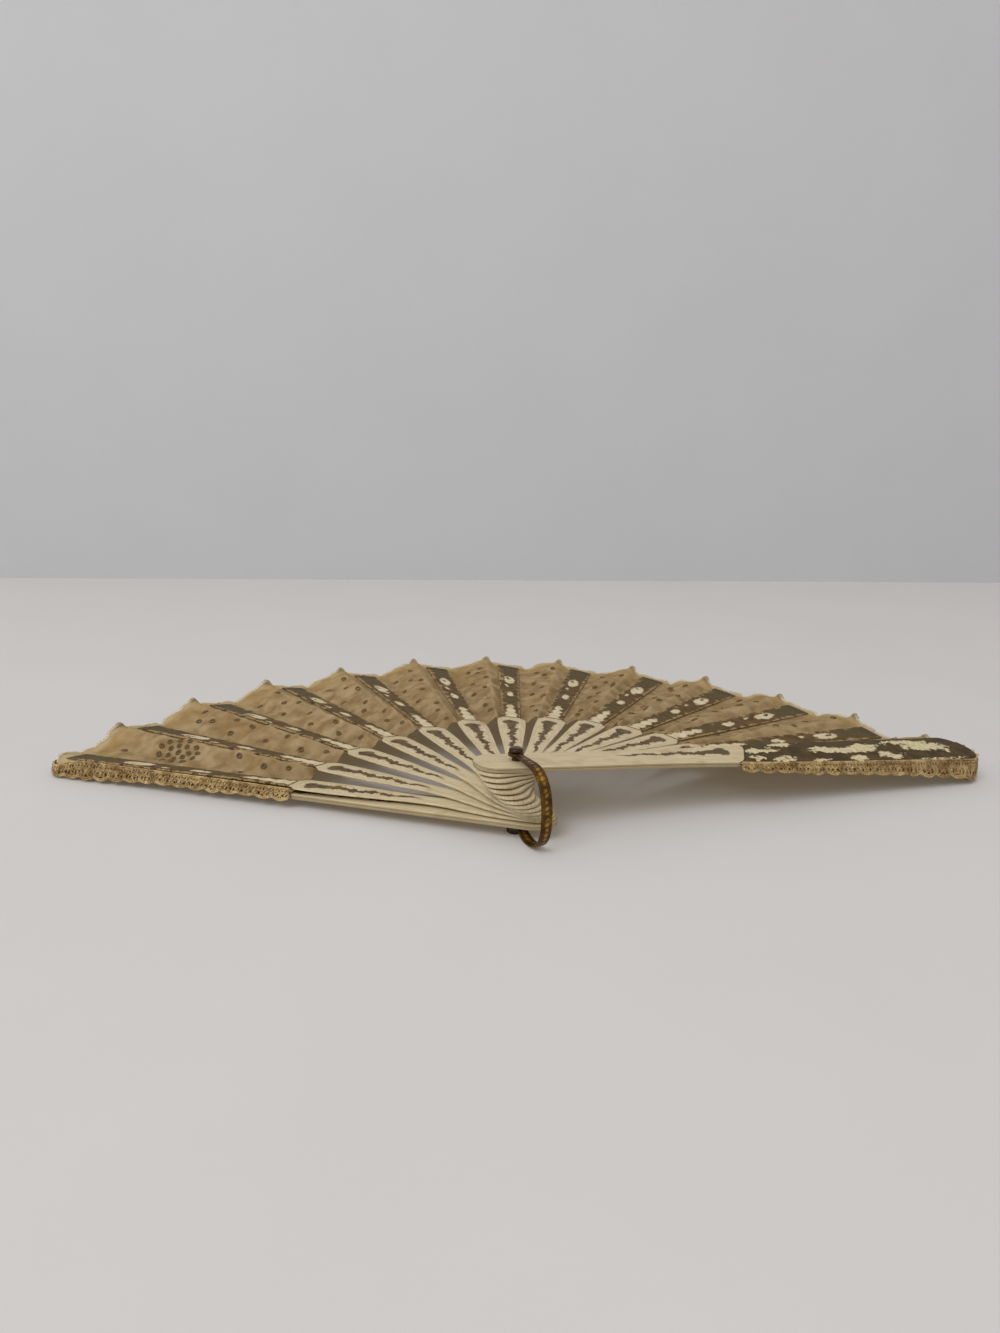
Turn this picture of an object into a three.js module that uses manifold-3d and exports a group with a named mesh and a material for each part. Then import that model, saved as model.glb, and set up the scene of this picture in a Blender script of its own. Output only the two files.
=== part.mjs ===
// A lace hand fan, lying open on a table: two guards, twelve sticks and a pleated leaf on one
// rivet, with a brass loop round the rivet's two ends.
// Millimetres and degrees, +Z up. The origin is on the table, in the middle of the rivet's foot.
// The fan opens about the Z axis, and its middle points along +Y.

import * as THREE from 'three';
import Module from 'manifold-3d';
import { mergeVertices } from 'three/addons/utils/BufferGeometryUtils.js';

// How the fan lies open
const STICK_COUNT = 12;
const FIRST_AZIMUTH = 162.3;
const OPEN_STEP = 12;
const GUARD_TUCK = 1.2;
const STICK_SLOPE = 0.1;
const SLOPE_STEP = 0.88;
const LEVEL_STICKS = 6.5;
const LEFT_GUARD_SLOPE = 0.6;
const RIGHT_GUARD_LIFT = 0.59;

// Sticks
const HEAD_REACH = 16;
const HEAD_HALF = 7;
const HEAD_THICKNESS = 1.1;
const THIN_START = 12;
const THIN_END = 40;
const WAIST_RADIUS = 35;
const WAIST_HALF = 3.5;
const SHOULDER_RADIUS = 91;
const SHOULDER_HALF = 6.7;
const SHOULDER_FALL = 4;
const RIB_ROOT_HALF = 4.25;
const RIB_TIP_HALF = 6.3;
const RIB_LENGTH = 205;
const RIB_THICKNESS = 0.7;
const RIB_ROLL = 10;
const TWIST_START = 50;
const TWIST_END = 130;
const STACK_GAP = 0.5;

// Guards
const GUARD_HEAD_REACH = 16.5;
const GUARD_HALF = 8.5;
const GUARD_TIP_HALF = 11;
const GUARD_BEYOND = 3;
const GUARD_TIP_LENGTH = 8;
const GUARD_THICKNESS = 2.1;
const RIGHT_GUARD_ROLL = 8;

// Rivet
const PIN_RADIUS = 1.5;
const PIN_CLEARANCE = 0.2;
const FOOT_HEIGHT = 2.8;
const FOOT_RADIUS = 3.4;
const FOOT_FLAT_RADIUS = 2.6;
const FOOT_EDGE = 0.8;
const CAP_RADIUS = 2.7;
const CAP_HEIGHT = 2;
const CAP_WALL = 0.9;

// Loop
const LOOP_AZIMUTH = -65;
const LOOP_WIDTH = 4.6;
const LOOP_THICKNESS = 1.2;
const LOOP_REACH = 25.4;
const LOOP_LEG = 12;
const LOOP_SQUARENESS = 2.5;
const EYE_RADIUS = 3.6;
const EYE_HEAD_GAP = 0.3;
const LOWER_EYE_GAP = 0.6;
const UPPER_EYE_GAP = 2;
const CLIMB_SHARES = [0.35, 0.65, 1];

// Leaf
const LEAF_TUCK = 2;
const LEAF_BEYOND = 2.2;
const LEAF_THICKNESS = 0.5;
const LEAF_GAP = 0.3;
const LEAF_SEAM = 0.4;
const RIB_MARGIN = 0.5;
const VALLEY_SHARE = 0.1;
const PEAK_SHARE = 0.21;
const PEAK_RISE = 3.4;
const VALLEY_DROP = 2;
const INNER_DEPTH = 0.4;
const SCALLOPS = 4;
const SCALLOP_HEIGHT = 1.6;

// Lace bands on the guards
const LACE_GAP = 0.3;
const LACE_THICKNESS = 1;
const LACE_FLARE = 1.2;
const LACE_TABLE_GAP = 0.3;
const LACE_RISE = 0.3;
const LEFT_LACE_DROP = 0.4;
const LEFT_LACE_DROP_START = 150;
const LEFT_LACE_FALL_START = 195;
const RIGHT_LACE_DROP = 1.4;
const RIGHT_LACE_SPREAD = 5.4;
const RIGHT_LACE_DROP_START = 195;
const LACE_SCALLOP = 8;
const LACE_SCALLOP_HEIGHT = 0.6;
const LACE_WRAP = 30;

// Facets
const ROUND_SIDES = 24;
const DOME_STEPS = 5;
const LOOP_STEPS = 22;
const HEAD_TURNS = [15, 35, 60];
const HEAD_STEPS = 4;
const SHOULDER_STEPS = 5;
const FALL_STEPS = 3;
const RIB_STEPS = 4;
const GUARD_STEPS = 12;
const GUARD_TIP_TURNS = [15, 30, 45, 60, 75, 85];
const LACE_STEPS = 4;
const LACE_TIP_STEPS = 9;
const LACE_ROWS = [0, 0.5, 1];
const LEAF_ROWS = 6;
const TUCKED_STEPS = 2;
const SLOPE_STEPS = 3;
const FACE_STEPS = 4;

const IVORY = { color: 0xd3c19b, roughness: 0.45, metalness: 0 };
const CLOTH = { color: 0xb39a72, roughness: 0.9, metalness: 0 };
const GOLD_LACE = { color: 0xa2814c, roughness: 0.8, metalness: 0.1 };
const BRASS = { color: 0x82602f, roughness: 0.4, metalness: 0.9 };
const DARK_BRASS = { color: 0x3d2e20, roughness: 0.45, metalness: 0.9 };

const { degToRad, lerp, smoothstep } = THREE.MathUtils;
const wasm = await Module();
wasm.setup();

// Radii along a blade
const LEAF_INNER = SHOULDER_RADIUS + LEAF_TUCK;
const GUARD_TIP_START = RIB_LENGTH + GUARD_BEYOND;
const GUARD_END = GUARD_TIP_START + GUARD_TIP_LENGTH;
const HOLE_RADIUS = PIN_RADIUS + PIN_CLEARANCE;

// Heights of the stack at the pivot, from the table up. A blade's height is its middle.
// The upper eye stands clear of the right guard's head, whose end rises as the guard droops.
const LOWER_EYE = FOOT_HEIGHT + EYE_HEAD_GAP + LOOP_THICKNESS / 2;
const LEFT_GUARD_HEIGHT = LOWER_EYE + (LOOP_THICKNESS + GUARD_THICKNESS) / 2 + LOWER_EYE_GAP;
const STICK_PITCH = HEAD_THICKNESS + STACK_GAP;
const GUARD_TO_STICK = (GUARD_THICKNESS + HEAD_THICKNESS) / 2 + STACK_GAP;
const FIRST_STICK_HEIGHT = LEFT_GUARD_HEIGHT + GUARD_TO_STICK;
const RIGHT_GUARD_HEIGHT = FIRST_STICK_HEIGHT + STICK_PITCH * (STICK_COUNT - 1) + GUARD_TO_STICK;
const UPPER_EYE = RIGHT_GUARD_HEIGHT + (GUARD_THICKNESS + LOOP_THICKNESS) / 2 + UPPER_EYE_GAP;
const CAP_BOTTOM = UPPER_EYE + LOOP_THICKNESS / 2 + EYE_HEAD_GAP;

const fan = new THREE.Group();

function addMesh(parent, name, geometry, look) {
  const mesh = new THREE.Mesh(geometry, new THREE.MeshStandardMaterial(look));
  mesh.name = name;
  parent.add(mesh);
  return mesh;
}

// A closed sheet between two grids of points. Along a row and then along a column, the front
// grid's face is on the side that a right-handed turn from rows to columns points to.
function slab(front, back) {
  const rows = front.length;
  const columns = front[0].length;
  const points = [...front.flat(), ...back.flat()];
  const at = (side, i, j) => (side * rows + i) * columns + j;
  const faces = [];
  const quad = (a, b, c, d) => faces.push(a, b, c, a, c, d);
  for (let i = 0; i + 1 < rows; i += 1) {
    for (let j = 0; j + 1 < columns; j += 1) {
      quad(at(0, i, j), at(0, i + 1, j), at(0, i + 1, j + 1), at(0, i, j + 1));
      quad(at(1, i, j), at(1, i, j + 1), at(1, i + 1, j + 1), at(1, i + 1, j));
    }
    const last = columns - 1;
    quad(at(0, i, 0), at(1, i, 0), at(1, i + 1, 0), at(0, i + 1, 0));
    quad(at(0, i, last), at(0, i + 1, last), at(1, i + 1, last), at(1, i, last));
  }
  for (let j = 0; j + 1 < columns; j += 1) {
    const last = rows - 1;
    quad(at(0, 0, j), at(0, 0, j + 1), at(1, 0, j + 1), at(1, 0, j));
    quad(at(0, last, j), at(1, last, j), at(1, last, j + 1), at(0, last, j + 1));
  }
  const geometry = new THREE.BufferGeometry().setFromPoints(points);
  geometry.setIndex(faces);
  return geometry;
}

function toSolid(geometry) {
  const bare = geometry.clone();
  bare.deleteAttribute('normal');
  bare.deleteAttribute('uv');
  const merged = mergeVertices(bare);
  const vertProperties = new Float32Array(merged.attributes.position.array);
  const triVerts = new Uint32Array(merged.index.array);
  return new wasm.Manifold(new wasm.Mesh({ numProp: 3, vertProperties, triVerts }));
}

function toGeometry(solid) {
  const { vertProperties, triVerts } = solid.getMesh();
  const geometry = new THREE.BufferGeometry();
  geometry.setAttribute('position', new THREE.BufferAttribute(vertProperties, 3));
  geometry.setIndex(new THREE.BufferAttribute(triVerts, 1));
  return geometry;
}

function upright(radius, bottom, top) {
  const cylinder = new THREE.CylinderGeometry(radius, radius, top - bottom, ROUND_SIDES);
  cylinder.rotateX(Math.PI / 2);
  return cylinder.translate(0, 0, (top + bottom) / 2);
}

// A turned piece about Z from its profile of [radius, height], lowest point first.
function turned(profile) {
  const points = profile.map(([radius, height]) => new THREE.Vector2(radius, height));
  return new THREE.LatheGeometry(points, ROUND_SIDES).rotateX(Math.PI / 2);
}

// The frame of a blade: X along the blade from the pivot, Y to its left, Z up through it.
function bladeFrame(azimuth, slope, height) {
  const frame = new THREE.Group();
  frame.position.z = height;
  frame.rotation.set(0, degToRad(slope), degToRad(azimuth), 'ZYX');
  frame.updateMatrix();
  fan.add(frame);
  return frame;
}

// A blade with the pin's hole through its head.
function drilled(blade, thickness) {
  const hole = toSolid(upright(HOLE_RADIUS, -thickness, thickness));
  return toGeometry(toSolid(blade).subtract(hole));
}

// Sticks

// The first sticks lie level, and each later one droops a little more from the top of the stack.
function stickSlope(number) {
  return STICK_SLOPE + SLOPE_STEP * Math.max(0, number - LEVEL_STICKS);
}

function stickHalf(r) {
  const shoulderEnd = SHOULDER_RADIUS + SHOULDER_FALL;
  if (r < WAIST_RADIUS) {
    return lerp(HEAD_HALF, WAIST_HALF, smoothstep(r, 0, WAIST_RADIUS));
  }
  if (r < SHOULDER_RADIUS) {
    return lerp(WAIST_HALF, SHOULDER_HALF, smoothstep(r, WAIST_RADIUS, SHOULDER_RADIUS));
  }
  if (r < shoulderEnd) {
    return lerp(SHOULDER_HALF, RIB_ROOT_HALF, smoothstep(r, SHOULDER_RADIUS, shoulderEnd));
  }
  return lerp(RIB_ROOT_HALF, RIB_TIP_HALF, (r - shoulderEnd) / (RIB_LENGTH - shoulderEnd));
}

function stickThickness(r) {
  return lerp(HEAD_THICKNESS, RIB_THICKNESS, smoothstep(r, THIN_START, THIN_END));
}

// A point of a twisted blade at radius r, y to the left of its middle and z above it. The blade
// is flat at the pivot and rolled by an angle further out, left side up.
function twisted(r, y, z, angle) {
  const roll = degToRad(angle) * smoothstep(r, TWIST_START, TWIST_END);
  const across = y * Math.cos(roll) - z * Math.sin(roll);
  return new THREE.Vector3(r, across, y * Math.sin(roll) + z * Math.cos(roll));
}

// A point of a stick at depth below its top face, about whose middle the stick is twisted.
function stickPoint(r, y, depth) {
  const point = twisted(r, y, -depth, RIB_ROLL);
  point.z += HEAD_THICKNESS / 2;
  return point;
}

function stickStations() {
  const headCentre = HEAD_HALF - HEAD_REACH;
  const stations = [];
  for (const angle of HEAD_TURNS) {
    const turn = degToRad(angle);
    stations.push([headCentre - HEAD_HALF * Math.cos(turn), HEAD_HALF * Math.sin(turn)]);
  }
  const spread = (from, to, steps) => {
    for (let i = 0; i < steps; i += 1) {
      const r = lerp(from, to, i / steps);
      stations.push([r, stickHalf(r)]);
    }
  };
  spread(headCentre, 0, 1);
  spread(0, WAIST_RADIUS, HEAD_STEPS);
  spread(WAIST_RADIUS, SHOULDER_RADIUS, SHOULDER_STEPS);
  spread(SHOULDER_RADIUS, SHOULDER_RADIUS + SHOULDER_FALL, FALL_STEPS);
  spread(SHOULDER_RADIUS + SHOULDER_FALL, RIB_LENGTH, RIB_STEPS);
  stations.push([RIB_LENGTH, RIB_TIP_HALF]);
  return stations;
}

function stickGeometry() {
  const stations = stickStations();
  const face = (depthAt) => stations.map(([r, half]) => [
    stickPoint(r, -half, depthAt(r)),
    stickPoint(r, half, depthAt(r)),
  ]);
  return drilled(slab(face(() => 0), face(stickThickness)), HEAD_THICKNESS);
}

function makeSticks() {
  const sticks = [];
  for (let i = 0; i < STICK_COUNT; i += 1) {
    const azimuth = FIRST_AZIMUTH - OPEN_STEP * i;
    const frame = bladeFrame(azimuth, stickSlope(i + 1), FIRST_STICK_HEIGHT + STICK_PITCH * i);
    addMesh(frame, `stick_${String(i + 1).padStart(2, '0')}`, stickGeometry(), IVORY);
    sticks.push({
      frame,
      half: stickHalf,
      under: (r, y) => stickPoint(r, y, stickThickness(r) + LEAF_GAP),
      peak: (r, y, depth) => new THREE.Vector3(r, y, HEAD_THICKNESS / 2 + PEAK_RISE * depth),
    });
  }
  return sticks;
}

// Guards

function guardHalf(r) {
  const share = Math.max(0, (r - LEAF_INNER) / (GUARD_TIP_START - LEAF_INNER));
  return lerp(GUARD_HALF, GUARD_TIP_HALF, Math.min(1, share));
}

// A guard's outline from its round head to the end of its tip, as [radius, half width].
function guardStations() {
  const headCentre = GUARD_HALF - GUARD_HEAD_REACH;
  const stations = [];
  for (const angle of HEAD_TURNS) {
    const turn = degToRad(angle);
    stations.push([headCentre - GUARD_HALF * Math.cos(turn), GUARD_HALF * Math.sin(turn)]);
  }
  stations.push([headCentre, GUARD_HALF]);
  stations.push([TWIST_START, GUARD_HALF]);
  for (let i = 1; i <= GUARD_STEPS; i += 1) {
    const r = lerp(TWIST_START, GUARD_TIP_START, i / GUARD_STEPS);
    stations.push([r, guardHalf(r)]);
  }
  for (const angle of GUARD_TIP_TURNS) {
    const turn = degToRad(angle);
    const r = GUARD_TIP_START + GUARD_TIP_LENGTH * Math.sin(turn);
    stations.push([r, GUARD_TIP_HALF * Math.cos(turn)]);
  }
  return stations;
}

function guardGeometry(roll) {
  const stations = guardStations();
  const face = (z) => stations.map(([r, half]) => [
    twisted(r, -half, z, roll),
    twisted(r, half, z, roll),
  ]);
  return drilled(slab(face(GUARD_THICKNESS / 2), face(-GUARD_THICKNESS / 2)), GUARD_THICKNESS);
}

function makeGuard(name, azimuth, slope, height, roll) {
  const frame = bladeFrame(azimuth, slope, height);
  addMesh(frame, name, guardGeometry(roll), IVORY);
  const under = (r, y) => twisted(r, y, -GUARD_THICKNESS / 2 - LEAF_GAP, roll);
  return { frame, roll, half: guardHalf, under, peak: under };
}

// The line that a lace band follows: a guard's edge on one side (1 left, -1 right) from the
// leaf's inner end, then round the tip and a little past its end. Each entry has the point on
// the edge, the direction out of the guard and the length run so far.
function guardEdge(side) {
  const edge = [];
  const length = GUARD_TIP_START - LEAF_INNER;
  const steps = Math.round(length / LACE_SCALLOP) * LACE_STEPS;
  for (let i = 0; i < steps; i += 1) {
    const r = lerp(LEAF_INNER, GUARD_TIP_START, i / steps);
    edge.push({ point: new THREE.Vector2(r, side * guardHalf(r)), out: new THREE.Vector2(0, side) });
  }
  for (let i = 0; i <= LACE_TIP_STEPS; i += 1) {
    const turn = lerp(Math.PI / 2, -degToRad(LACE_WRAP), i / LACE_TIP_STEPS);
    const x = GUARD_TIP_START + GUARD_TIP_LENGTH * Math.cos(turn);
    const out = new THREE.Vector2(Math.cos(turn) / GUARD_TIP_LENGTH, Math.sin(turn) / GUARD_TIP_HALF);
    out.y *= side;
    edge.push({ point: new THREE.Vector2(x, side * GUARD_TIP_HALF * Math.sin(turn)), out: out.normalize() });
  }
  let run = 0;
  edge.forEach((entry, i) => {
    run += i > 0 ? entry.point.distanceTo(edge[i - 1].point) : 0;
    entry.run = run;
  });
  return edge;
}

// A lace band that stands beside a guard's edge and flares out towards its scalloped lower edge.
// topAt and bottomAt give its local heights at a point of the edge.
function laceGeometry(side, topAt, bottomAt) {
  const edge = guardEdge(side);
  const surface = (shift) => edge.map((entry) => {
    const wave = Math.abs(Math.sin((Math.PI * entry.run) / LACE_SCALLOP));
    const top = topAt(entry.point);
    const bottom = bottomAt(entry.point) + LACE_SCALLOP_HEIGHT * (1 - wave);
    const row = [];
    for (const share of LACE_ROWS) {
      const at = entry.point.clone().addScaledVector(entry.out, shift + LACE_FLARE * share * share);
      row.push(new THREE.Vector3(at.x, at.y, lerp(top, bottom, share)));
    }
    return row;
  });
  const inner = surface(LACE_GAP);
  const outer = surface(LACE_GAP + LACE_THICKNESS);
  return side > 0 ? slab(outer, inner) : slab(inner, outer);
}

// The local height at which a point of a blade's frame is at the given height above the table.
function localHeight(frame, point, height) {
  const slope = frame.rotation.y;
  return (height - frame.position.z + point.x * Math.sin(slope)) / Math.cos(slope);
}

// The left band stands from the table, or from just under the guard, up to the first stick's edge.
// Round the tip its top falls to the guard's.
function makeLeftLace(guard, stick) {
  const topAt = (point) => {
    const r = Math.min(point.x, RIB_LENGTH);
    const edge = inFan(stick, stickPoint(r, stick.half(r), 0));
    const byStick = localHeight(guard.frame, point, edge.z);
    const byGuard = GUARD_THICKNESS / 2 + LACE_RISE;
    return lerp(byStick, byGuard, smoothstep(point.x, LEFT_LACE_FALL_START, GUARD_END));
  };
  const bottomAt = (point) => {
    const hung = -GUARD_THICKNESS / 2 - LEFT_LACE_DROP;
    const onTable = localHeight(guard.frame, point, LACE_TABLE_GAP);
    return lerp(hung, onTable, smoothstep(point.x, LEFT_LACE_DROP_START, GUARD_END));
  };
  addMesh(guard.frame, 'left_guard_lace', laceGeometry(1, topAt, bottomAt), GOLD_LACE);
}

// The right band hangs from the guard's top edge, deeper towards the tip, where it meets the table.
function makeRightLace(guard) {
  const edgeAt = (point, z) => twisted(point.x, point.y, z, guard.roll).z;
  const topAt = (point) => edgeAt(point, GUARD_THICKNESS / 2) + LACE_RISE;
  const bottomAt = (point) => {
    const share = (point.x - LEAF_INNER) / (GUARD_END - LEAF_INNER);
    const hung = edgeAt(point, -GUARD_THICKNESS / 2) - RIGHT_LACE_DROP - RIGHT_LACE_SPREAD * share;
    const onTable = localHeight(guard.frame, point, LACE_TABLE_GAP);
    return lerp(hung, onTable, smoothstep(point.x, RIGHT_LACE_DROP_START, GUARD_END));
  };
  addMesh(guard.frame, 'right_guard_lace', laceGeometry(-1, topAt, bottomAt), GOLD_LACE);
}

// Leaf

// How deep the pleats are at radius r, as a share of their depth at the rib's tip.
function pleatDepth(r) {
  return lerp(INNER_DEPTH, 1, (r - LEAF_INNER) / (RIB_LENGTH - LEAF_INNER));
}

function inFan(blade, point) {
  return point.applyMatrix4(blade.frame.matrix);
}

// The fold lines of a panel, each a function from radius to a point of the cloth's upper face.
// From the left: the middle of the left rib, its right edge, the valley, the peak, the left
// edge of the right rib and its middle. The cloth lies under the ribs. Beside the first stick
// it lies on the guard that is tucked under that stick, so its valley is past the guard's edge.
function foldLines(left, right, tucked) {
  const leftEdge = (r) => left.half(r) + RIB_MARGIN;
  const rightEdge = (r) => right.half(r) + RIB_MARGIN;
  const free = (r) => 2 * r * Math.sin(degToRad(OPEN_STEP) / 2) - leftEdge(r) - rightEdge(r);
  const valley = (r) => {
    if (tucked) {
      return inFan(tucked, onGuard(r, -tucked.half(r) - RIB_MARGIN));
    }
    const point = left.under(r, 0);
    point.y = -leftEdge(r) - VALLEY_SHARE * free(r);
    point.z -= VALLEY_DROP * pleatDepth(r);
    return inFan(left, point);
  };
  const peak = (r) => inFan(right, right.peak(r, rightEdge(r) + PEAK_SHARE * free(r), pleatDepth(r)));
  return [
    { at: (r) => inFan(left, left.under(r, -LEAF_SEAM / 2)), steps: TUCKED_STEPS },
    { at: (r) => inFan(left, left.under(r, -leftEdge(r))), steps: SLOPE_STEPS },
    { at: valley, steps: FACE_STEPS },
    { at: peak, steps: SLOPE_STEPS },
    { at: (r) => inFan(right, right.under(r, rightEdge(r))), steps: TUCKED_STEPS },
    { at: (r) => inFan(right, right.under(r, LEAF_SEAM / 2)), steps: 0 },
  ];
}

// A point of the cloth's upper face where the cloth lies on the left guard.
function onGuard(r, y) {
  return new THREE.Vector3(r, y, GUARD_THICKNESS / 2 + LEAF_GAP + LEAF_THICKNESS);
}

// The first panel is shut: it climbs from the left guard's edge to under the first stick's middle.
function firstFoldLines(guard, stick) {
  return [
    { at: (r) => inFan(guard, onGuard(r, guard.half(r) - RIB_MARGIN)), steps: SLOPE_STEPS },
    { at: (r) => inFan(stick, stick.under(r, LEAF_SEAM / 2)), steps: 0 },
  ];
}

// A panel of cloth over its fold lines, with a scalloped outer edge.
function panelGeometry(lines, scallops) {
  const columns = [];
  lines.forEach((line, i) => {
    for (let step = 0; step < line.steps; step += 1) {
      const share = step / line.steps;
      columns.push((r) => line.at(r).lerp(lines[i + 1].at(r), share));
    }
  });
  columns.push(lines[lines.length - 1].at);
  const last = columns.length - 1;
  const outerAt = (j) => {
    const wave = Math.abs(Math.sin((Math.PI * scallops * j) / last));
    return RIB_LENGTH + LEAF_BEYOND + SCALLOP_HEIGHT * wave;
  };
  const top = [];
  for (let i = 0; i <= LEAF_ROWS; i += 1) {
    const row = columns.map((column, j) => column(lerp(LEAF_INNER, outerAt(j), i / LEAF_ROWS)));
    top.push(row.reverse());
  }
  const down = new THREE.Vector3(0, 0, -LEAF_THICKNESS);
  const bottom = top.map((row) => row.map((point) => point.clone().add(down)));
  return slab(top, bottom);
}

function makeLeaf(blades) {
  for (let i = 0; i + 1 < blades.length; i += 1) {
    const name = `leaf_panel_${String(i + 1).padStart(2, '0')}`;
    const folded = i === 0;
    const tucked = i === 1 ? blades[0] : null;
    const lines = folded
      ? firstFoldLines(blades[0], blades[1])
      : foldLines(blades[i], blades[i + 1], tucked);
    addMesh(fan, name, panelGeometry(lines, folded ? 1 : SCALLOPS), CLOTH);
  }
}

// Rivet

function makeRivet() {
  const shankTop = CAP_BOTTOM + CAP_HEIGHT - CAP_WALL - PIN_CLEARANCE;
  addMesh(fan, 'rivet_pin', turned([
    [0, 0],
    [FOOT_FLAT_RADIUS, 0],
    [FOOT_RADIUS, FOOT_EDGE],
    [FOOT_RADIUS, FOOT_HEIGHT - FOOT_EDGE],
    [FOOT_FLAT_RADIUS, FOOT_HEIGHT],
    [PIN_RADIUS, FOOT_HEIGHT],
    [PIN_RADIUS, shankTop],
    [0, shankTop],
  ]), DARK_BRASS);
  const dome = [];
  for (let i = 0; i <= DOME_STEPS; i += 1) {
    const turn = (Math.PI / 2) * (i / DOME_STEPS);
    const radius = i < DOME_STEPS ? CAP_RADIUS * Math.cos(turn) : 0;
    dome.push([radius, CAP_BOTTOM + CAP_HEIGHT * Math.sin(turn)]);
  }
  const seat = CAP_BOTTOM + CAP_HEIGHT - CAP_WALL;
  const cap = [[0, seat], [HOLE_RADIUS, seat], [HOLE_RADIUS, CAP_BOTTOM], ...dome];
  addMesh(fan, 'rivet_cap', turned(cap), DARK_BRASS);
}

// Loop

// The strip's middle line from the upper eye to the lower one: a straight leg, a rounded bow
// that dips to the table, and a leg that climbs to the lower eye. Points are [reach, height].
function loopLine() {
  const dip = LACE_TABLE_GAP + LOOP_THICKNESS / 2;
  const middle = (UPPER_EYE + dip) / 2;
  const line = [new THREE.Vector2(PIN_RADIUS, UPPER_EYE)];
  const bent = (value) => Math.sign(value) * Math.abs(value) ** (2 / LOOP_SQUARENESS);
  for (let i = 0; i <= LOOP_STEPS; i += 1) {
    const turn = Math.PI * (0.5 - i / LOOP_STEPS);
    const reach = LOOP_LEG + (LOOP_REACH - LOOP_LEG) * bent(Math.cos(turn));
    line.push(new THREE.Vector2(reach, middle + (UPPER_EYE - middle) * bent(Math.sin(turn))));
  }
  const climb = LOOP_LEG - EYE_RADIUS;
  for (const share of CLIMB_SHARES) {
    line.push(new THREE.Vector2(LOOP_LEG - climb * share, lerp(dip, LOWER_EYE, smoothstep(share, 0, 1))));
  }
  line.push(new THREE.Vector2(PIN_RADIUS, LOWER_EYE));
  return line;
}

function makeLoop() {
  const line = loopLine();
  const side = (shift) => line.map((point, i) => {
    const before = line[Math.max(0, i - 1)];
    const after = line[Math.min(line.length - 1, i + 1)];
    const along = after.clone().sub(before).normalize();
    const x = point.x + along.y * shift;
    const z = point.y - along.x * shift;
    return [-1, 1].map((sign) => new THREE.Vector3(x, (sign * LOOP_WIDTH) / 2, z));
  });
  const strip = toSolid(slab(side(-LOOP_THICKNESS / 2), side(LOOP_THICKNESS / 2)));
  const eye = (height) => {
    return toSolid(upright(EYE_RADIUS, height - LOOP_THICKNESS / 2, height + LOOP_THICKNESS / 2));
  };
  const hole = toSolid(upright(HOLE_RADIUS, LOWER_EYE - LOOP_THICKNESS, UPPER_EYE + LOOP_THICKNESS));
  const bail = strip.add(eye(UPPER_EYE)).add(eye(LOWER_EYE)).subtract(hole);
  const mesh = addMesh(fan, 'loop', toGeometry(bail), BRASS);
  mesh.rotation.z = degToRad(LOOP_AZIMUTH);
}

const leftAzimuth = FIRST_AZIMUTH - GUARD_TUCK;
const leftGuard = makeGuard('left_guard', leftAzimuth, LEFT_GUARD_SLOPE, LEFT_GUARD_HEIGHT, 0);
const sticks = makeSticks();
const rightAzimuth = FIRST_AZIMUTH - OPEN_STEP * STICK_COUNT;
const rightSlope = stickSlope(STICK_COUNT) - RIGHT_GUARD_LIFT;
const rightGuard = makeGuard('right_guard', rightAzimuth, rightSlope, RIGHT_GUARD_HEIGHT, RIGHT_GUARD_ROLL);
makeLeftLace(leftGuard, sticks[0]);
makeRightLace(rightGuard);
makeLeaf([leftGuard, ...sticks, rightGuard]);
makeRivet();
makeLoop();

export default fan;
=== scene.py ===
"""A lace hand fan lying open on a table: ivory blades with worn bronze ribs, a pleated cloth leaf
with embroidered eyelets, gold lace along the guards, and a brass loop on the rivet.

Shapes are worked out in millimetres and degrees, in the fan's own frame, and become metres in the
meshes.
"""

import math
from collections import namedtuple

import bmesh
import bpy
import numpy as np
from mathutils import Matrix, Vector


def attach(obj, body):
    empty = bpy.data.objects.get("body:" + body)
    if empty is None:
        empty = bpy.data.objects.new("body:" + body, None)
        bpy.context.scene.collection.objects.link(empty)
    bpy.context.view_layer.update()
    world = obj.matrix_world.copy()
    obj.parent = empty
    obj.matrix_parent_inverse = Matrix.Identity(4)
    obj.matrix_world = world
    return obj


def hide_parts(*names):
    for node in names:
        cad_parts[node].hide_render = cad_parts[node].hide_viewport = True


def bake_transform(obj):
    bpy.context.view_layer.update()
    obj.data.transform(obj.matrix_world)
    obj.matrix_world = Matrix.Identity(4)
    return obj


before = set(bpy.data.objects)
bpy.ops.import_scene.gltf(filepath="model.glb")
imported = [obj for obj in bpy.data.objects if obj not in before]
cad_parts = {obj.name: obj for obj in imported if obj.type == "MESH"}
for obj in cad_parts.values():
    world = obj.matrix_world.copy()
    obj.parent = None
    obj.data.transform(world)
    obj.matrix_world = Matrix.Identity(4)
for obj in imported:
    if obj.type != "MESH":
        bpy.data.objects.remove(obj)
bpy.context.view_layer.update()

# Metres in a millimetre, and millimetres in one unit of a flat map
MM = 0.001
FLAT_UNIT = 100

# How the fan lies open
STICK_COUNT = 12
FIRST_AZIMUTH = 162.3
OPEN_STEP = 12
GUARD_TUCK = 1.2
STICK_SLOPE = 0.1
SLOPE_STEP = 0.88
LEVEL_STICKS = 6.5
LEFT_GUARD_SLOPE = 0.6
RIGHT_GUARD_LIFT = 0.59
RIGHT_GUARD_ROLL = 8

# Heights of the blades' middles at the pivot
LEFT_GUARD_HEIGHT = 5.95
FIRST_STICK_HEIGHT = 8.05
STICK_PITCH = 1.6
RIGHT_GUARD_HEIGHT = 27.75

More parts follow.
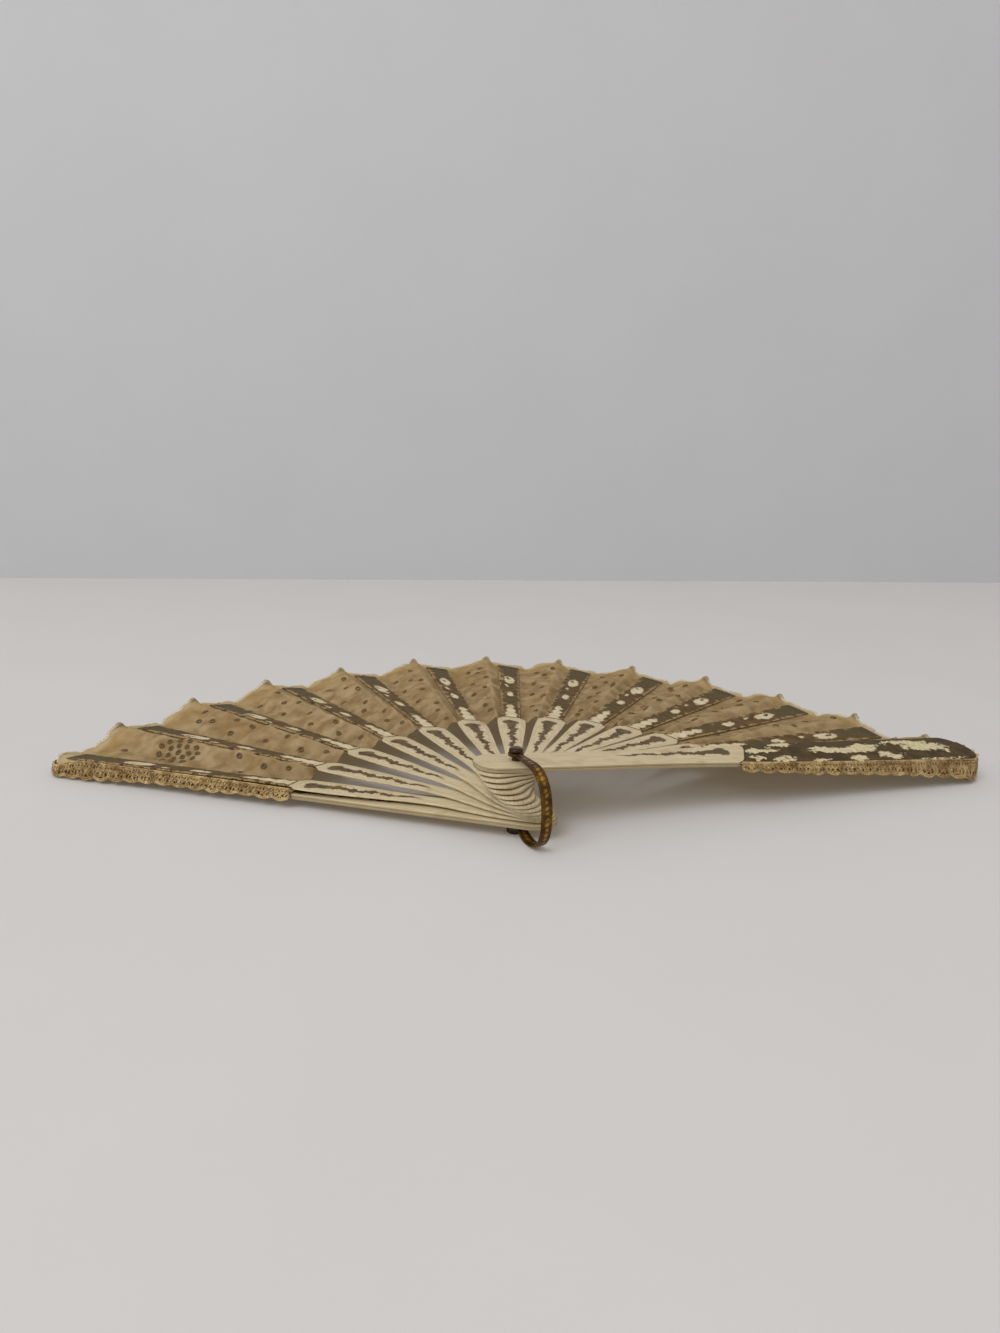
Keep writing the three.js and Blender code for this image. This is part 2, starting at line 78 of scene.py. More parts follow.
# Sticks
HEAD_REACH = 16
HEAD_HALF = 7
HEAD_THICKNESS = 1.1
THIN_START = 12
THIN_END = 40
WAIST_RADIUS = 35
WAIST_HALF = 3.5
SHOULDER_RADIUS = 91
SHOULDER_HALF = 6.7
SHOULDER_FALL = 4
RIB_ROOT = SHOULDER_RADIUS + SHOULDER_FALL
RIB_ROOT_HALF = 4.25
RIB_TIP_HALF = 6.3
RIB_WIDENING = 0.0186
RIB_LENGTH = 205
RIB_THICKNESS = 0.7
RIB_ROLL = 10
TWIST_START = 50
TWIST_END = 130
STICK_EDGE = 0.26

# Guards
GUARD_HEAD_REACH = 16.5
GUARD_HALF = 8.5
GUARD_TIP_HALF = 11
GUARD_TIP_START = 208
GUARD_TIP_LENGTH = 8
GUARD_END = 216
GUARD_THICKNESS = 2.1
GUARD_EDGE = 0.35
GUARD_GROOVE = 0.45
HOLE_RADIUS = 1.7

# Angles round a blade's rounded end, from near its tip to its full width
HEAD_TURN = np.radians(np.linspace(5, 90, 16))

# Rivet; AXIS is the radius of the small faces that close a turned shape
AXIS = 0.01
PIN_RADIUS = 1.5
FOOT_HEIGHT = 2.8
FOOT_RADIUS = 3.4
FOOT_FLAT_RADIUS = 2.6
FOOT_ROUND = 0.8
SHANK_TOP = 33.2
CAP_BOTTOM = 32.3
CAP_HEIGHT = 2
CAP_RADIUS = 2.7
CAP_ROUND = 0.35
TURNED_SIDES = 64

# Loop
LOOP_AZIMUTH = -65
LOOP_WIDTH = 4.6
LOOP_THICKNESS = 1.2
LOOP_REACH = 25.4
LOOP_LEG = 12
LOOP_SQUARENESS = 2.5
LOOP_DIP = 0.9
LOWER_EYE = 3.7
UPPER_EYE = 31.4
EYE_RADIUS = 3
EYE_OVERLAP = 0.9
EYE_ROUND = 0.3
BEAD_STEP = 2.1

# Leaf
LEAF_INNER = 93
LEAF_BEYOND = 2.2
TIP_COVER = 5
LIP_RISE = 0.9
LEAF_GAP = 0.3
LEAF_SEAM = 0.1
LEAF_THICKNESS = 0.35
LEAF_OVER_GUARD = 0.7
RIB_MARGIN = 0.8
VALLEY_SHARE = 0.1
PEAK_SHARE = 0.21
PEAK_RISE = 3.4
VALLEY_DROP = 2
INNER_DEPTH = 0.4
SCALLOPS = 4
SCALLOP_HEIGHT = 1.6
REFERENCE_RADIUS = 180
FOLD_SHARE = 0.75
FOLDED_ENDS = (-9, -4)
PLEAT_ROUNDING = 1.3
FOLDED_ROUNDING = 0.6
LAST_RISE = 0.3
PANEL_SEED = 100
EYELET_SEED = 300
CLOTH_ROWS = 190
CLOTH_COLUMNS = 84
FOLDED_COLUMNS = 24

# Wrinkles of the leaf
RIPPLES = 14
PUCKER_RISE = 0.3
CREST_RISE = 1.1
BELLY_RISE = 1
VALLEY_RISE = 1.1

# Edging and eyelets: radius, and share of the way between the ribs
THREAD_SIDES = 6
EDGE_LOOPS = 30
FOLDED_LOOPS = 8
EYELET_ROWS = [
    (104, 0.55), (117, 0.38), (129, 0.66), (141, 0.3), (153, 0.58), (165, 0.24), (168, 0.74),
    (179, 0.5), (190, 0.26), (193, 0.7),
]
BESIDE_MEDALLION = [(104, 0.55), (117, 0.4), (130, 0.64), (192, 0.2), (188, 0.84)]
MEDALLION_RADIUS = 165
MEDALLION_SHARE = 0.48

# Lace
LACE_GAP = 0.3
LACE_FLARE = 1.2
LACE_RISE = 0.3
LACE_TABLE_GAP = 0.3
LEFT_LACE_DROP = 0.4
LEFT_LACE_DROP_START = 150
LEFT_LACE_FALL_START = 195
RIGHT_LACE_DROP = 1.4
RIGHT_LACE_SPREAD = 5.4
RIGHT_LACE_DROP_START = 195
LACE_SCALLOP = 8
LACE_SCALLOP_HEIGHT = 0.6
LACE_WRAP = 30
LEFT_RUFFLE = 0.1
RIGHT_RUFFLE = 0.35
NET_THICKNESS = 0.2
LOOSE_ENDS = 90
CURLS = 240
NARROWEST_SHEET = 10

# The table and the wall behind it
TABLE_HALF = 3000
TABLE_NEAR = -2500
TABLE_FAR = 690
WALL_HEIGHT = 2500

# Lamp and camera, in metres and degrees
LAMP_PLACE = (-0.9, -1.3, 1.8)
LAMP_TARGET = (0, 0.08, 0)
CAMERA_PLACE = (-0.00612, -0.32573, 0.14252)
CAMERA_TIP = 13.386
CAMERA_ROLL = 0.271
CAMERA_LENS = 24.66


# Finishes

def colour(code):
    """A linear colour from the six hex digits of its sRGB value."""
    parts = np.array([int(code[i:i + 2], 16) / 255 for i in (0, 2, 4)])
    linear = np.where(parts <= 0.04045, parts / 12.92, ((parts + 0.055) / 1.055) ** 2.4)
    return (*linear.tolist(), 1)


class Wire:
    """A shader socket. Operators on it add Math nodes, and node() adds any other node."""

    def __init__(self, tree, socket=None):
        self.tree = tree
        self.socket = socket

    def node(self, kind, settings=None, sockets=None, output=0):
        """A new node: settings, then the sockets' values or links. Six hex digits are a colour."""
        made = self.tree.nodes.new("ShaderNode" + kind)
        for name, value in (settings or {}).items():
            setattr(made, name, value)
        for name, value in (sockets or {}).items():
            if isinstance(value, Wire):
                self.tree.links.new(value.socket, made.inputs[name])
            else:
                value = colour(value) if isinstance(value, str) else value
                made.inputs[name].default_value = value
        return Wire(self.tree, made.outputs[output] if len(made.outputs) else None)

    def maths(self, operation, first, second=0.0):
        return self.node("Math", {"operation": operation}, {0: first, 1: second})

    def __add__(self, other):
        return self.maths("ADD", self, other)

    __radd__ = __add__

    def __sub__(self, other):
        return self.maths("SUBTRACT", self, other)

    def __rsub__(self, other):
        return self.maths("SUBTRACT", other, self)

    def __mul__(self, other):
        return self.maths("MULTIPLY", self, other)

    __rmul__ = __mul__

    def __truediv__(self, other):
        return self.maths("DIVIDE", self, other)

    def __abs__(self):
        return self.maths("ABSOLUTE", self)

    def wave(self):
        return self.maths("SINE", self)

    def most(self, other):
        return self.maths("MAXIMUM", self, other)

    def ease(self, low, high):
        """0 up to low, 1 from high on, smooth between; it falls where high is the smaller."""
        settings = {"interpolation_type": "SMOOTHSTEP"}
        return self.node("MapRange", settings, {"Value": self, "From Min": low, "From Max": high})

    def mix(self, first, second):
        """The colour that goes from first to second as this value goes from 0 to 1."""
        return self.node("Mix", {"data_type": "RGBA"}, {0: self, 6: first, 7: second}, 2)

    def shades(self, first, second, spread=0.2):
        """The colour that goes from first to second as this noise climbs from -spread to spread."""
        return self.ease(-spread, spread).mix(first, second)

    def noise(self, scale, detail=3.0):
        """Cloudy noise from -0.5 to 0.5 over this vector, with scale spots to its unit."""
        sockets = {"Vector": self, "Scale": scale, "Detail": detail, "Roughness": 0.55}
        return self.node("TexNoise", {}, sockets) - 0.5

    def part(self, number):
        """X, Y or Z of this vector."""
        return self.node("SeparateXYZ", {}, {0: self}, number)

    def value(self, name):
        """A value that the mesh has at its points."""
        return self.node("Attribute", {"attribute_name": name}, {}, 2)


def start_finish(name):
    """A new material, its Object coordinates and the two values of its flat map in mm."""
    material = bpy.data.materials.new(name)
    material.use_nodes = True
    material.node_tree.nodes.clear()
    wire = Wire(material.node_tree)
    here = wire.node("TexCoord", {}, {}, 3)
    flat = wire.node("UVMap", {"uv_map": "flat"})
    return material, here, flat.part(0) * FLAT_UNIT, flat.part(1) * FLAT_UNIT


def end_finish(
    material, base, roughness, metallic=0.0, relief=None, depth=0, through=None, **fixed
):
    """Puts the shader and the output on a material. depth is the relief's height in mm.

    through is the share of light that a thin cloth lets through, and that light's colour.
    """
    sockets = {"Base Color": base, "Roughness": roughness, "Metallic": metallic}
    sockets.update({name.replace("_", " "): value for name, value in fixed.items()})
    if relief is not None:
        bump = {"Strength": 1.0, "Distance": depth * MM, "Height": relief}
        sockets["Normal"] = base.node("Bump", {}, bump)
    shader = base.node("BsdfPrincipled", {}, sockets)
    if through is not None:
        share, tint = through
        glowing = base.node("BsdfTranslucent", {}, {"Color": tint})
        shader = base.node("MixShader", {}, {0: share, 1: shader, 2: glowing})
    base.node("OutputMaterial", {}, {"Surface": shader})
    return material


def layered(base, *layers):
    """The base colour with each layer's colour laid over it by the layer's share."""
    for share, over in layers:
        base = share.mix(base, over)
    return base


def lengthways(along, across, slow, quick):
    """Coordinates for noise that is drawn out along the piece."""
    return along.node("CombineXYZ", {}, {"X": along * slow, "Y": across * quick})


def spot(along, across, middle, half_along, half_across, side=0.0):
    """1 inside an oval on the blade and 0 outside it, with a soft rim."""
    x = (along - middle) / half_along
    y = (across - side) / half_across
    return (x * x + y * y).ease(1.2, 0.75)


def ivory_base(here, along, across):
    """Old ivory: pale cream with faint streaks along the blade and brown dirt in patches."""
    streaks = lengthways(along, across, 0.06, 1.4).noise(1.3, 2.0)
    dirt = here.noise(90, 4.0).ease(0.02, 0.3) * 0.8
    return layered(streaks.shades("B8A681", "D0C2A1", 0.25), (dirt, "A68F66")), streaks


def dark_mark(along, across, ragged, side):
    """A dark blot by the leaf, wider at its outer end, with a jagged tail that thins inwards."""
    jags = (along * 1.5).wave() * 0.4 + (along * 0.83 + 1.2).wave() * 0.4
    jags = jags + (along * 3.3).wave() * 0.25
    middle = (along * 0.4).wave() * 0.6 + side
    half = along.ease(36, 82) * 1.05 + jags * along.ease(36, 60) + 0.6
    tail = (abs(across + ragged - middle) - half).ease(0.3, -0.1)
    tail = tail * along.ease(36, 44) * along.ease(89, 86)
    bar = spot(along + ragged * 1.6, across + ragged * 1.4, 86.9, 3.2, 3.9, side + 0.6)
    neck = spot(along + ragged * 2, across + ragged, 82.5, 6.0, 2.2, side + 0.3)
    return tail.most(bar).most(neck)


def stick_finish():
    """Ivory gorge with a dark blot and a jagged tail; bronze rib with cream worn patches."""
    material, here, along, across = start_finish("ivory_and_bronze_stick")
    coarse, fine = here.noise(260), here.noise(900)
    r = along + coarse * 9 + fine * 6
    y = across + coarse * 2.2 + fine * 3
    ivory, streaks = ivory_base(here, along, across)
    dark = dark_mark(along, across, coarse * 1.2 + fine * 1.8, 0.0)
    speck = fine.ease(0.1, 0.2) * along.ease(40, 70) * 0.4
    gorge = dark.most(speck).mix(ivory, coarse.shades("4C3B22", "6A5431", 0.15))

    green = (r.ease(174, 188) * 0.85).most(spot(r, y, 127, 10, 9) * 0.5)
    rib_half = (along - RIB_ROOT) * RIB_WIDENING + RIB_ROOT_HALF
    bare = (abs(y) / rib_half + coarse * 1.6 + fine * 0.8).ease(0.78, 0.98)
    lobes = abs((along * 0.47 + 0.9).wave())
    tree_half = (119.5 - along) * 0.07 + lobes * 1.1 + 0.5
    tree = (abs(y) - tree_half).ease(0.4, -0.3) * along.ease(95.6, 96.4) * r.ease(120, 117)
    eye = spot(r, y, 171.5, 8.0, 2.9) * (1 - spot(r, y, 174.5, 1.7, 0.9, 0.7))
    pale = eye.most(spot(r, y, 140, 4.6, 1.9)).most(spot(r, y, 157, 2.2, 0.9, 1.6)).most(tree)
    rib = layered(
        coarse.shades("4E3A1B", "694F2C"),
        (green, fine.shades("463C20", "5D5130")),
        (fine.ease(0.08, 0.28) * 0.4, "8C744C"),
        (bare * 0.85, fine.shades("8E744A", "B2986C")),
        (pale, coarse.shades("C2B28C", "D6CAAB", 0.25)),
        (r.ease(198.5, 200.5) * 0.7, "493E29"),
    )

    on_rib = along.ease(94.6, 95.2)
    base = on_rib.mix(gorge, rib)
    roughness = 0.5 + fine * 0.25 + on_rib * 0.16
    relief = streaks * 0.25 + fine * 0.5 + (dark + pale) * 0.6
    return end_finish(material, base, roughness, 0.0, relief, 0.12, Specular_IOR_Level=0.2)


def guard_finish():
    """Ivory with a dark mark and painted shade on its sides; past a slanting line, bronze with
    ragged cream patches.
    """
    material, here, along, across = start_finish("ivory_and_bronze_guard")
    coarse, ragged, fine = here.noise(200), here.noise(430, 2.0), here.noise(900)
    up = abs(here.node("TexCoord", {}, {}, 1).part(2))
    face = up.ease(0.3, 0.6)
    mark = dark_mark(along - 4, across, coarse * 1.2 + fine * 1.8, 2.4) * face
    ivory, streaks = ivory_base(here, along, across)
    # The sides, whose faces don't look up, are darkened with painted shade.
    ivory = layered(ivory, (up.ease(0.75, 0.35) * 0.8, "978565"), (mark, "58462A"))
    r = along + coarse * 12 + ragged * 10 + fine * 6
    y = across + coarse * 3 + ragged * 6 + fine * 3
    patches = 0.0
    for oval in (
        (194, 11, 3.8, 2.2), (150, 17, 2.4, 0.8), (162, 8, 1.8, 4.0), (138, 5, 1.6, 3.0),
        (108, 10, 2.0, 2.6), (116, 5, 2.5, -6.0), (133, 3, 1.3, -7.4), (153, 4.5, 2.4, -6.8),
        (168, 3.5, 2.6, -3.6), (171, 5, 1.9, -6.2), (122, 6, 1.6, 7.6), (103, 3, 2.4, -4.5),
        (186, 12, 2.0, 6.8), (203, 3, 2.6, -1.6), (193, 14, 0.7, -9.6),
    ):
        patches = spot(r, y, *oval).most(patches)
    outer = layered(
        coarse.shades("3A2D15", "534223"),
        (y.ease(3.5, 8) * 0.5, "4A4430"),
        (fine.ease(0.1, 0.25) * 0.4, "766238"),
        (patches, fine.shades("BDAD84", "D5C9A6")),
    )
    wide = (across / GUARD_HALF) * (across / GUARD_HALF)
    past = along - across * 0.6 + wide * wide * wide * 2.5
    on_outer = past.ease(99.5, 99.9) * face
    # rim is a thin dark line of painted shadow where the ivory ends on the bronze.
    rim = past.ease(99.2, 99.6) * past.ease(100.4, 100) * face * 0.8
    base = layered(ivory, (on_outer, outer), (rim, "33281A"))
    roughness = 0.5 + fine * 0.25 + on_outer * 0.14
    relief = streaks * 0.2 + fine * 0.5 + patches * on_outer * 0.8 - on_outer * 3
    return end_finish(material, base, roughness, 0.0, relief, 0.15, Specular_IOR_Level=0.2)


def cloth_finish():
    """Tea-coloured cotton: fine weave, slubs, stains, worked dots and a yellowed outer edge."""
    material, here, along, across = start_finish("tea_cotton")
    stains, mottle = here.noise(38, 4.0), here.noise(160, 4.0)
    slubs = lengthways(along, across, 0.12, 2.2).noise(1.0, 2.0)
    eyelet, fold, knot = (here.value(name) for name in ("eyelet", "fold", "knot"))
    dots = ((along * 4.4).wave() * (across * 4.4).wave()).ease(0.3, 0.65)
    dots = dots * (stains + mottle * 0.6 + along.ease(128, 102) * 0.5).ease(0.08, 0.3)
    base = layered(
        mottle.shades("A28760", "CEB68E"),
        (stains.ease(0, 0.25) * 0.7, "A4814E"),
        (slubs.ease(0.05, 0.2) * 0.3, "D2BB90"),
        (dots * 0.65, "6A5230"),
        (fold * 0.3, "D8C298"),
        # Brown round the eyelets: partly the stitching's own colour, partly painted shade of the
        # holes.
        (eyelet * 0.6, "7A5D34"),
        (along.ease(184, 203) * 0.4, "C4A569"),
        (along.ease(203, 208) * 0.6, "E6D5AE"),
        (knot * 0.8, "6E6244"),
    )
    weave = (along * 13).wave() * (across * 13).wave()
    relief = weave * 0.35 + slubs * 0.5 + mottle * 0.6 + eyelet * 0.5 - dots * 0.4
    return end_finish(
        material, base, 0.88 + mottle * 0.1, 0.0, relief, 0.16,
        through=(0.38, "E4CFA4"), Specular_IOR_Level=0.1,
    )


def thread_finish(name, dark, light, bright, metal, dullness):
    """Twisted thread: clouds of dark and light, bright worn spots, and round an eyelet a brown that
    is partly painted shade.
    """
    material, here, along, across = start_finish(name)
    fine = here.noise(1500, 2.0)
    base = layered(
        here.noise(210).shades(dark, light),
        (fine.ease(0.08, 0.25), bright),
        # Brown round an eyelet: partly the stitching's own colour, partly painted shade of the
        # hole.
        (here.value("eyelet"), fine.shades("5A4724", "806839")),
    )
    relief = (along * 7 + across * 3).wave() * 0.5 + fine
    return end_finish(material, base, dullness + fine * 0.2, metal, relief, 0.12)


def brass_finish(name, dark, light, bright, metal=0.75):
    """Old brass: dark in the hollows, bright on the ridges that the ridge value marks, partly worn
    and partly a painted highlight.
    """
    material, here, _, _ = start_finish(name)
    clouds, fine = here.noise(260, 4.0), here.noise(1300)
    ridge = here.value("ridge")
    # Lighter on the ridges: partly worn brass, partly painted highlight.
    wear_and_highlight = (ridge + clouds * 2.2).ease(0.4, 1.2) * 0.7
    base = layered(clouds.shades(dark, light), (wear_and_highlight, bright))
    roughness = 0.46 - ridge * 0.12 + fine * 0.3
    return end_finish(material, base, roughness, metal, fine + clouds * 0.5, 0.08)


def plain_finish(name, code, glow):
    """A matt surface for the table and the wall, with the faintest mottle and a glow that only
    the camera and reflections see, which keeps its shadows light."""
    material, here, _, _ = start_finish(name)
    clouds = here.noise(9)
    shade = tuple(part * 0.98 for part in colour(code)[:3]) + (1,)
    seen = here.node("LightPath") + here.node("LightPath", {}, {}, "Is Glossy Ray")
    return end_finish(
        material, clouds.shades(shade, code), 0.8 + clouds * 0.1,
        Emission_Color=seen.mix("000000", glow), Emission_Strength=1.0,
    )


# Meshes

def smooth(x, low, high):
    """0 up to low, 1 from high on, and 3t² - 2t³ between them."""
    t = np.clip((x - low) / (high - low), 0, 1)
    return t * t * (3 - 2 * t)


def lerp(first, second, share):
    return first + (second - first) * share


def stacked(*parts):
    """Arrays of X, Y and so on as one array of points."""
    return np.stack(np.broadcast_arrays(*parts), axis=-1)


def bell(x, half):
    """1 where x is 0, falling on both sides by e to the minus (x / half) squared."""
    return np.exp(-(x / half) ** 2)


def circle(count):
    """Evenly spaced angles of a full turn."""
    return np.linspace(0, 2 * np.pi, count, endpoint=False)


def unit(vectors):
    return vectors / np.linalg.norm(vectors, axis=-1, keepdims=True)


def run_along(x, y):
    """How far along a line of points each of them is."""
    return np.cumsum(np.hypot(np.diff(x, prepend=x[0]), np.diff(y, prepend=y[0])))


def grid_faces(rows, columns, ring=False):
    """Quads over a grid of rows by columns; with ring, the last column joins the first."""
    i = np.arange(rows - 1)[:, None] * columns
    j = np.arange(columns if ring else columns - 1)[None, :]
    k = (j + 1) % columns
    return np.stack([i + j, i + k, i + columns + k, i + columns + j], axis=-1).reshape(-1, 4)


def tube_faces(rows, sides):
    """Quads round a tube of rows of points, and a face over each end."""
    faces = grid_faces(rows, sides, ring=True).tolist()
    return faces + [list(range(sides)), list(range((rows - 1) * sides, rows * sides))]


def make_mesh(name, points, faces, flat=None, values=None, close=True, weld=False):
    """A smooth-shaded mesh from points in mm, with its flat map and its values.

    close turns the faces outwards, and weld then also joins points that lie on each other.
    """
    mesh = bpy.data.meshes.new(name)
    mesh.from_pydata((np.reshape(points, (-1, 3)) * MM).tolist(), [], faces)
    if flat is not None:
        corners = np.empty(len(mesh.loops), dtype=np.int32)
        mesh.loops.foreach_get("vertex_index", corners)
        layer = mesh.uv_layers.new(name="flat")
        layer.data.foreach_set("uv", (np.reshape(flat, (-1, 2))[corners] / FLAT_UNIT).ravel())
    for value_name, value in (values or {}).items():
        attribute = mesh.attributes.new(value_name, "FLOAT", "POINT")
        attribute.data.foreach_set("value", np.ravel(value).astype(np.float32))
    if close:
        work = bmesh.new()
        work.from_mesh(mesh)
        if weld:
            bmesh.ops.remove_doubles(work, verts=work.verts, dist=0.001 * MM)
        bmesh.ops.recalc_face_normals(work, faces=work.faces)
        work.to_mesh(mesh)
        work.free()
    mesh.shade_smooth()
    return mesh


def place_piece(name, mesh, material):
    """A new object at the origin, with its finish and the slot that it takes it from."""
    piece = bpy.data.objects.new(name, mesh)
    mesh.materials.clear()
    mesh.materials.append(material)
    bpy.context.collection.objects.link(piece)
    return piece


def fix(piece, body, node):
    """The piece rides on the body and stands in for the node."""
    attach(piece, body)
    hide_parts(node)


def thicken(piece, name, thickness, offset):
    """Gives a sheet its thickness in mm."""
    wall = piece.modifiers.new(name, "SOLIDIFY")
    wall.thickness = thickness * MM
    wall.offset = offset


def tubes(paths, radius, sides, normal, ring=False):
    """Round tubes along paths (number, steps, 3): circles across each path's direction.

    normal is the way to the circles' first side, and radius may change along the path.
    """
    ahead = np.roll(paths, -1, axis=1) - np.roll(paths, 1, axis=1)
    if not ring:
        ahead = np.gradient(paths, axis=1)
    ahead = unit(ahead)
    across = unit(np.cross(ahead, np.broadcast_to(normal, paths.shape)))
    up = np.cross(across, ahead)
    turn = circle(sides)[:, None]
    radius = np.broadcast_to(radius, paths.shape[:2])[..., None, None]
    section = np.cos(turn) * across[..., None, :] + np.sin(turn) * up[..., None, :]
    points = paths[..., None, :] + radius * section
    count, steps = paths.shape[:2]
    rows = steps + 1 if ring else steps
    once = grid_faces(rows, sides, ring=True) % (steps * sides)
    starts = (np.arange(count) * steps * sides)[:, None, None]
    faces = (once[None] + starts).reshape(-1, 4).tolist()
    if not ring:
        for start in (np.arange(count) * steps * sides).tolist():
            faces.append(list(range(start, start + sides)))
            faces.append(list(range(start + (steps - 1) * sides, start + steps * sides)))
    steps_along = np.diff(paths, axis=1, prepend=paths[:, :1])
    run = np.cumsum(np.linalg.norm(steps_along, axis=-1), axis=1)
    flat = stacked(run[..., None], np.linspace(0, 6, sides))
    return points.reshape(-1, 3), faces, flat.reshape(-1, 2)


def join(*shapes):
    """Several (points, faces, flat map) as one."""
    points, faces, flats, start = [], [], [], 0
    for shape_points, shape_faces, shape_flat in shapes:
        points.append(shape_points)
        flats.append(shape_flat)
        faces.extend([[corner + start for corner in face] for face in shape_faces])
        start += len(shape_points)
    return np.concatenate(points), faces, np.concatenate(flats)


def lathe(profile, sides):
    """A turned shape about Z: its profile of (radius, height) carried round in a circle."""
    turn = circle(sides)
    radius, height = np.array(profile, dtype=float).T[..., None]
    points = stacked(radius * np.cos(turn), radius * np.sin(turn), height)
    return points.reshape(-1, 3), tube_faces(len(profile), sides)


# Blades

Blade = namedtuple("Blade", "body turn place half under peak")


def blade_turn(azimuth, slope):
    """Droop by the slope about Y, then swing by the azimuth about Z."""
    swing = Matrix.Rotation(math.radians(azimuth), 3, "Z")
    return np.array(swing @ Matrix.Rotation(math.radians(slope), 3, "Y"))


def in_fan(blade, points):
    return points @ blade.turn.T + np.array([0, 0, blade.place])


def blade_matrix(blade):
    """The blade's frame as a matrix in metres."""
    matrix = Matrix(blade.turn.tolist()).to_4x4()
    matrix.translation = (0, 0, blade.place * MM)
    return matrix


def stick_slope(number):
    return STICK_SLOPE + SLOPE_STEP * max(0, number - LEVEL_STICKS)


def stick_half(r):
    """Half a stick's width: head to waist to shoulder, a quick fall, then a rib that widens."""
    waist = lerp(HEAD_HALF, WAIST_HALF, smooth(r, 0, WAIST_RADIUS))
    shoulder = lerp(WAIST_HALF, SHOULDER_HALF, smooth(r, WAIST_RADIUS, SHOULDER_RADIUS))
    fall = lerp(SHOULDER_HALF, RIB_ROOT_HALF, smooth(r, SHOULDER_RADIUS, RIB_ROOT))
    rib = lerp(RIB_ROOT_HALF, RIB_TIP_HALF, (r - RIB_ROOT) / (RIB_LENGTH - RIB_ROOT))
    inside = [r < WAIST_RADIUS, r < SHOULDER_RADIUS, r < RIB_ROOT]
    return np.select(inside, [waist, shoulder, fall], rib)


def stick_thickness(r):
    return lerp(HEAD_THICKNESS, RIB_THICKNESS, smooth(r, THIN_START, THIN_END))


def twisted(r, y, z, angle):
    """A point of a blade that is rolled by the angle further out, left side up: y and z turned."""
    roll = math.radians(angle) * smooth(r, TWIST_START, TWIST_END)
    across = y * np.cos(roll) - z * np.sin(roll)
    return stacked(r, across, y * np.sin(roll) + z * np.cos(roll))


def stick_point(r, y, depth):
    """A point at radius r, y left of the middle and depth below the top, with the rib's roll."""
    return twisted(r, y, -depth, RIB_ROLL) + np.array([0, 0, HEAD_THICKNESS / 2])


def guard_half(r):
    """Half a guard's width up to its rounded tip: it widens a little beside the leaf."""
    share = (r - LEAF_INNER) / (GUARD_TIP_START - LEAF_INNER)
    return lerp(GUARD_HALF, GUARD_TIP_HALF, np.clip(share, 0, 1))


def guard_point(r, y, depth, roll=0):
    return twisted(r, y, GUARD_THICKNESS / 2 - depth, roll)


def bar_section(face_steps, corner_steps, groove):
    """A flat bar's section, once round from the left end of its top.

    Columns: shares of the half width and the corner radius that make y, shares of the thickness
    and the corner radius that make the depth, and mm of y for a groove along the sides.
    """
    face = np.linspace(1, -1, face_steps + 1)
    turn = np.linspace(0, np.pi / 2, corner_steps + 1)
    s, c, one = np.sin(turn), np.cos(turn), np.ones(corner_steps + 1)
    zero = 0 * face
    notch_depth = np.array([0.30, 0.37, 0.47, 0.54]) if groove else np.empty(0)
    notch_in = np.array([0, groove, groove, 0]) if groove else np.empty(0)
    flat_one = np.ones(len(notch_depth))
    runs = [
        (face, zero, zero, zero, zero),
        (-one, -s, 0 * s, 1 - c, 0 * s),
        (-flat_one, -flat_one, notch_depth, flat_one, notch_in),
        (-one, -c, one, 1 + s, 0 * s),
        (-face, zero, zero + 1, zero + 2, zero),
        (one, s, one, 1 + c, 0 * s),
        (flat_one, flat_one, notch_depth[::-1], flat_one, -notch_in),
        (one, c, 0 * s, 1 - s, 0 * s),
    ]
    rows = np.concatenate([np.stack(run, axis=1) for run in runs])
    same = np.all(np.isclose(rows, np.roll(rows, 1, axis=0)), axis=1)
    return rows[~same]


def bar_shape(r, half, thickness, inset, edge, section, point):
    """A bar's section carried along stations r, drawn in all round by inset at its ends."""
    half = (half - inset)[:, None]
    thick = (thickness - 2 * inset)[:, None]
    corner = np.minimum(np.minimum(edge, 0.45 * thick), 0.8 * half)
    a, b, c, d, notch = section.T
    y = a * (half - corner) + b * corner + notch * np.minimum(1, half / 3)
    depth = inset[:, None] + c * (thick - 2 * corner) + d * corner
    stations = np.broadcast_to(r[:, None], y.shape)
    points = point(stations, y, depth)
    faces = tube_faces(len(r), len(section))
    return points.reshape(-1, 3), faces, stacked(stations, y).reshape(-1, 2)


def soft_end(r, half):
    """Stations with the last one doubled twice, drawn in a little, for a soft end."""
    last = r[-1]
    r = np.concatenate([r[:-1], [last - 0.25, last - 0.08, last]])
    half = np.concatenate([half[:-1], [half[-1]] * 3])
    inset = np.zeros(len(r))
    inset[-2:] = 0.07, 0.22
    return r, half, inset


def stick_shape():
    """A stick at its own frame: a round head, then the outline's half width to the rib's tip."""
    centre = HEAD_HALF - HEAD_REACH
    body_r = np.concatenate([
        np.linspace(centre, SHOULDER_RADIUS - 1, 72)[1:],
        np.linspace(SHOULDER_RADIUS - 1, RIB_ROOT, 18)[1:],
        np.linspace(RIB_ROOT, RIB_LENGTH, 64)[1:],
    ])
    r = np.concatenate([centre - HEAD_HALF * np.cos(HEAD_TURN), body_r])
    half = np.concatenate([HEAD_HALF * np.sin(HEAD_TURN), stick_half(body_r)])
    r, half, inset = soft_end(r, half)
    section = bar_section(10, 3, 0)
    return bar_shape(r, half, stick_thickness(r), inset, STICK_EDGE, section, stick_point)


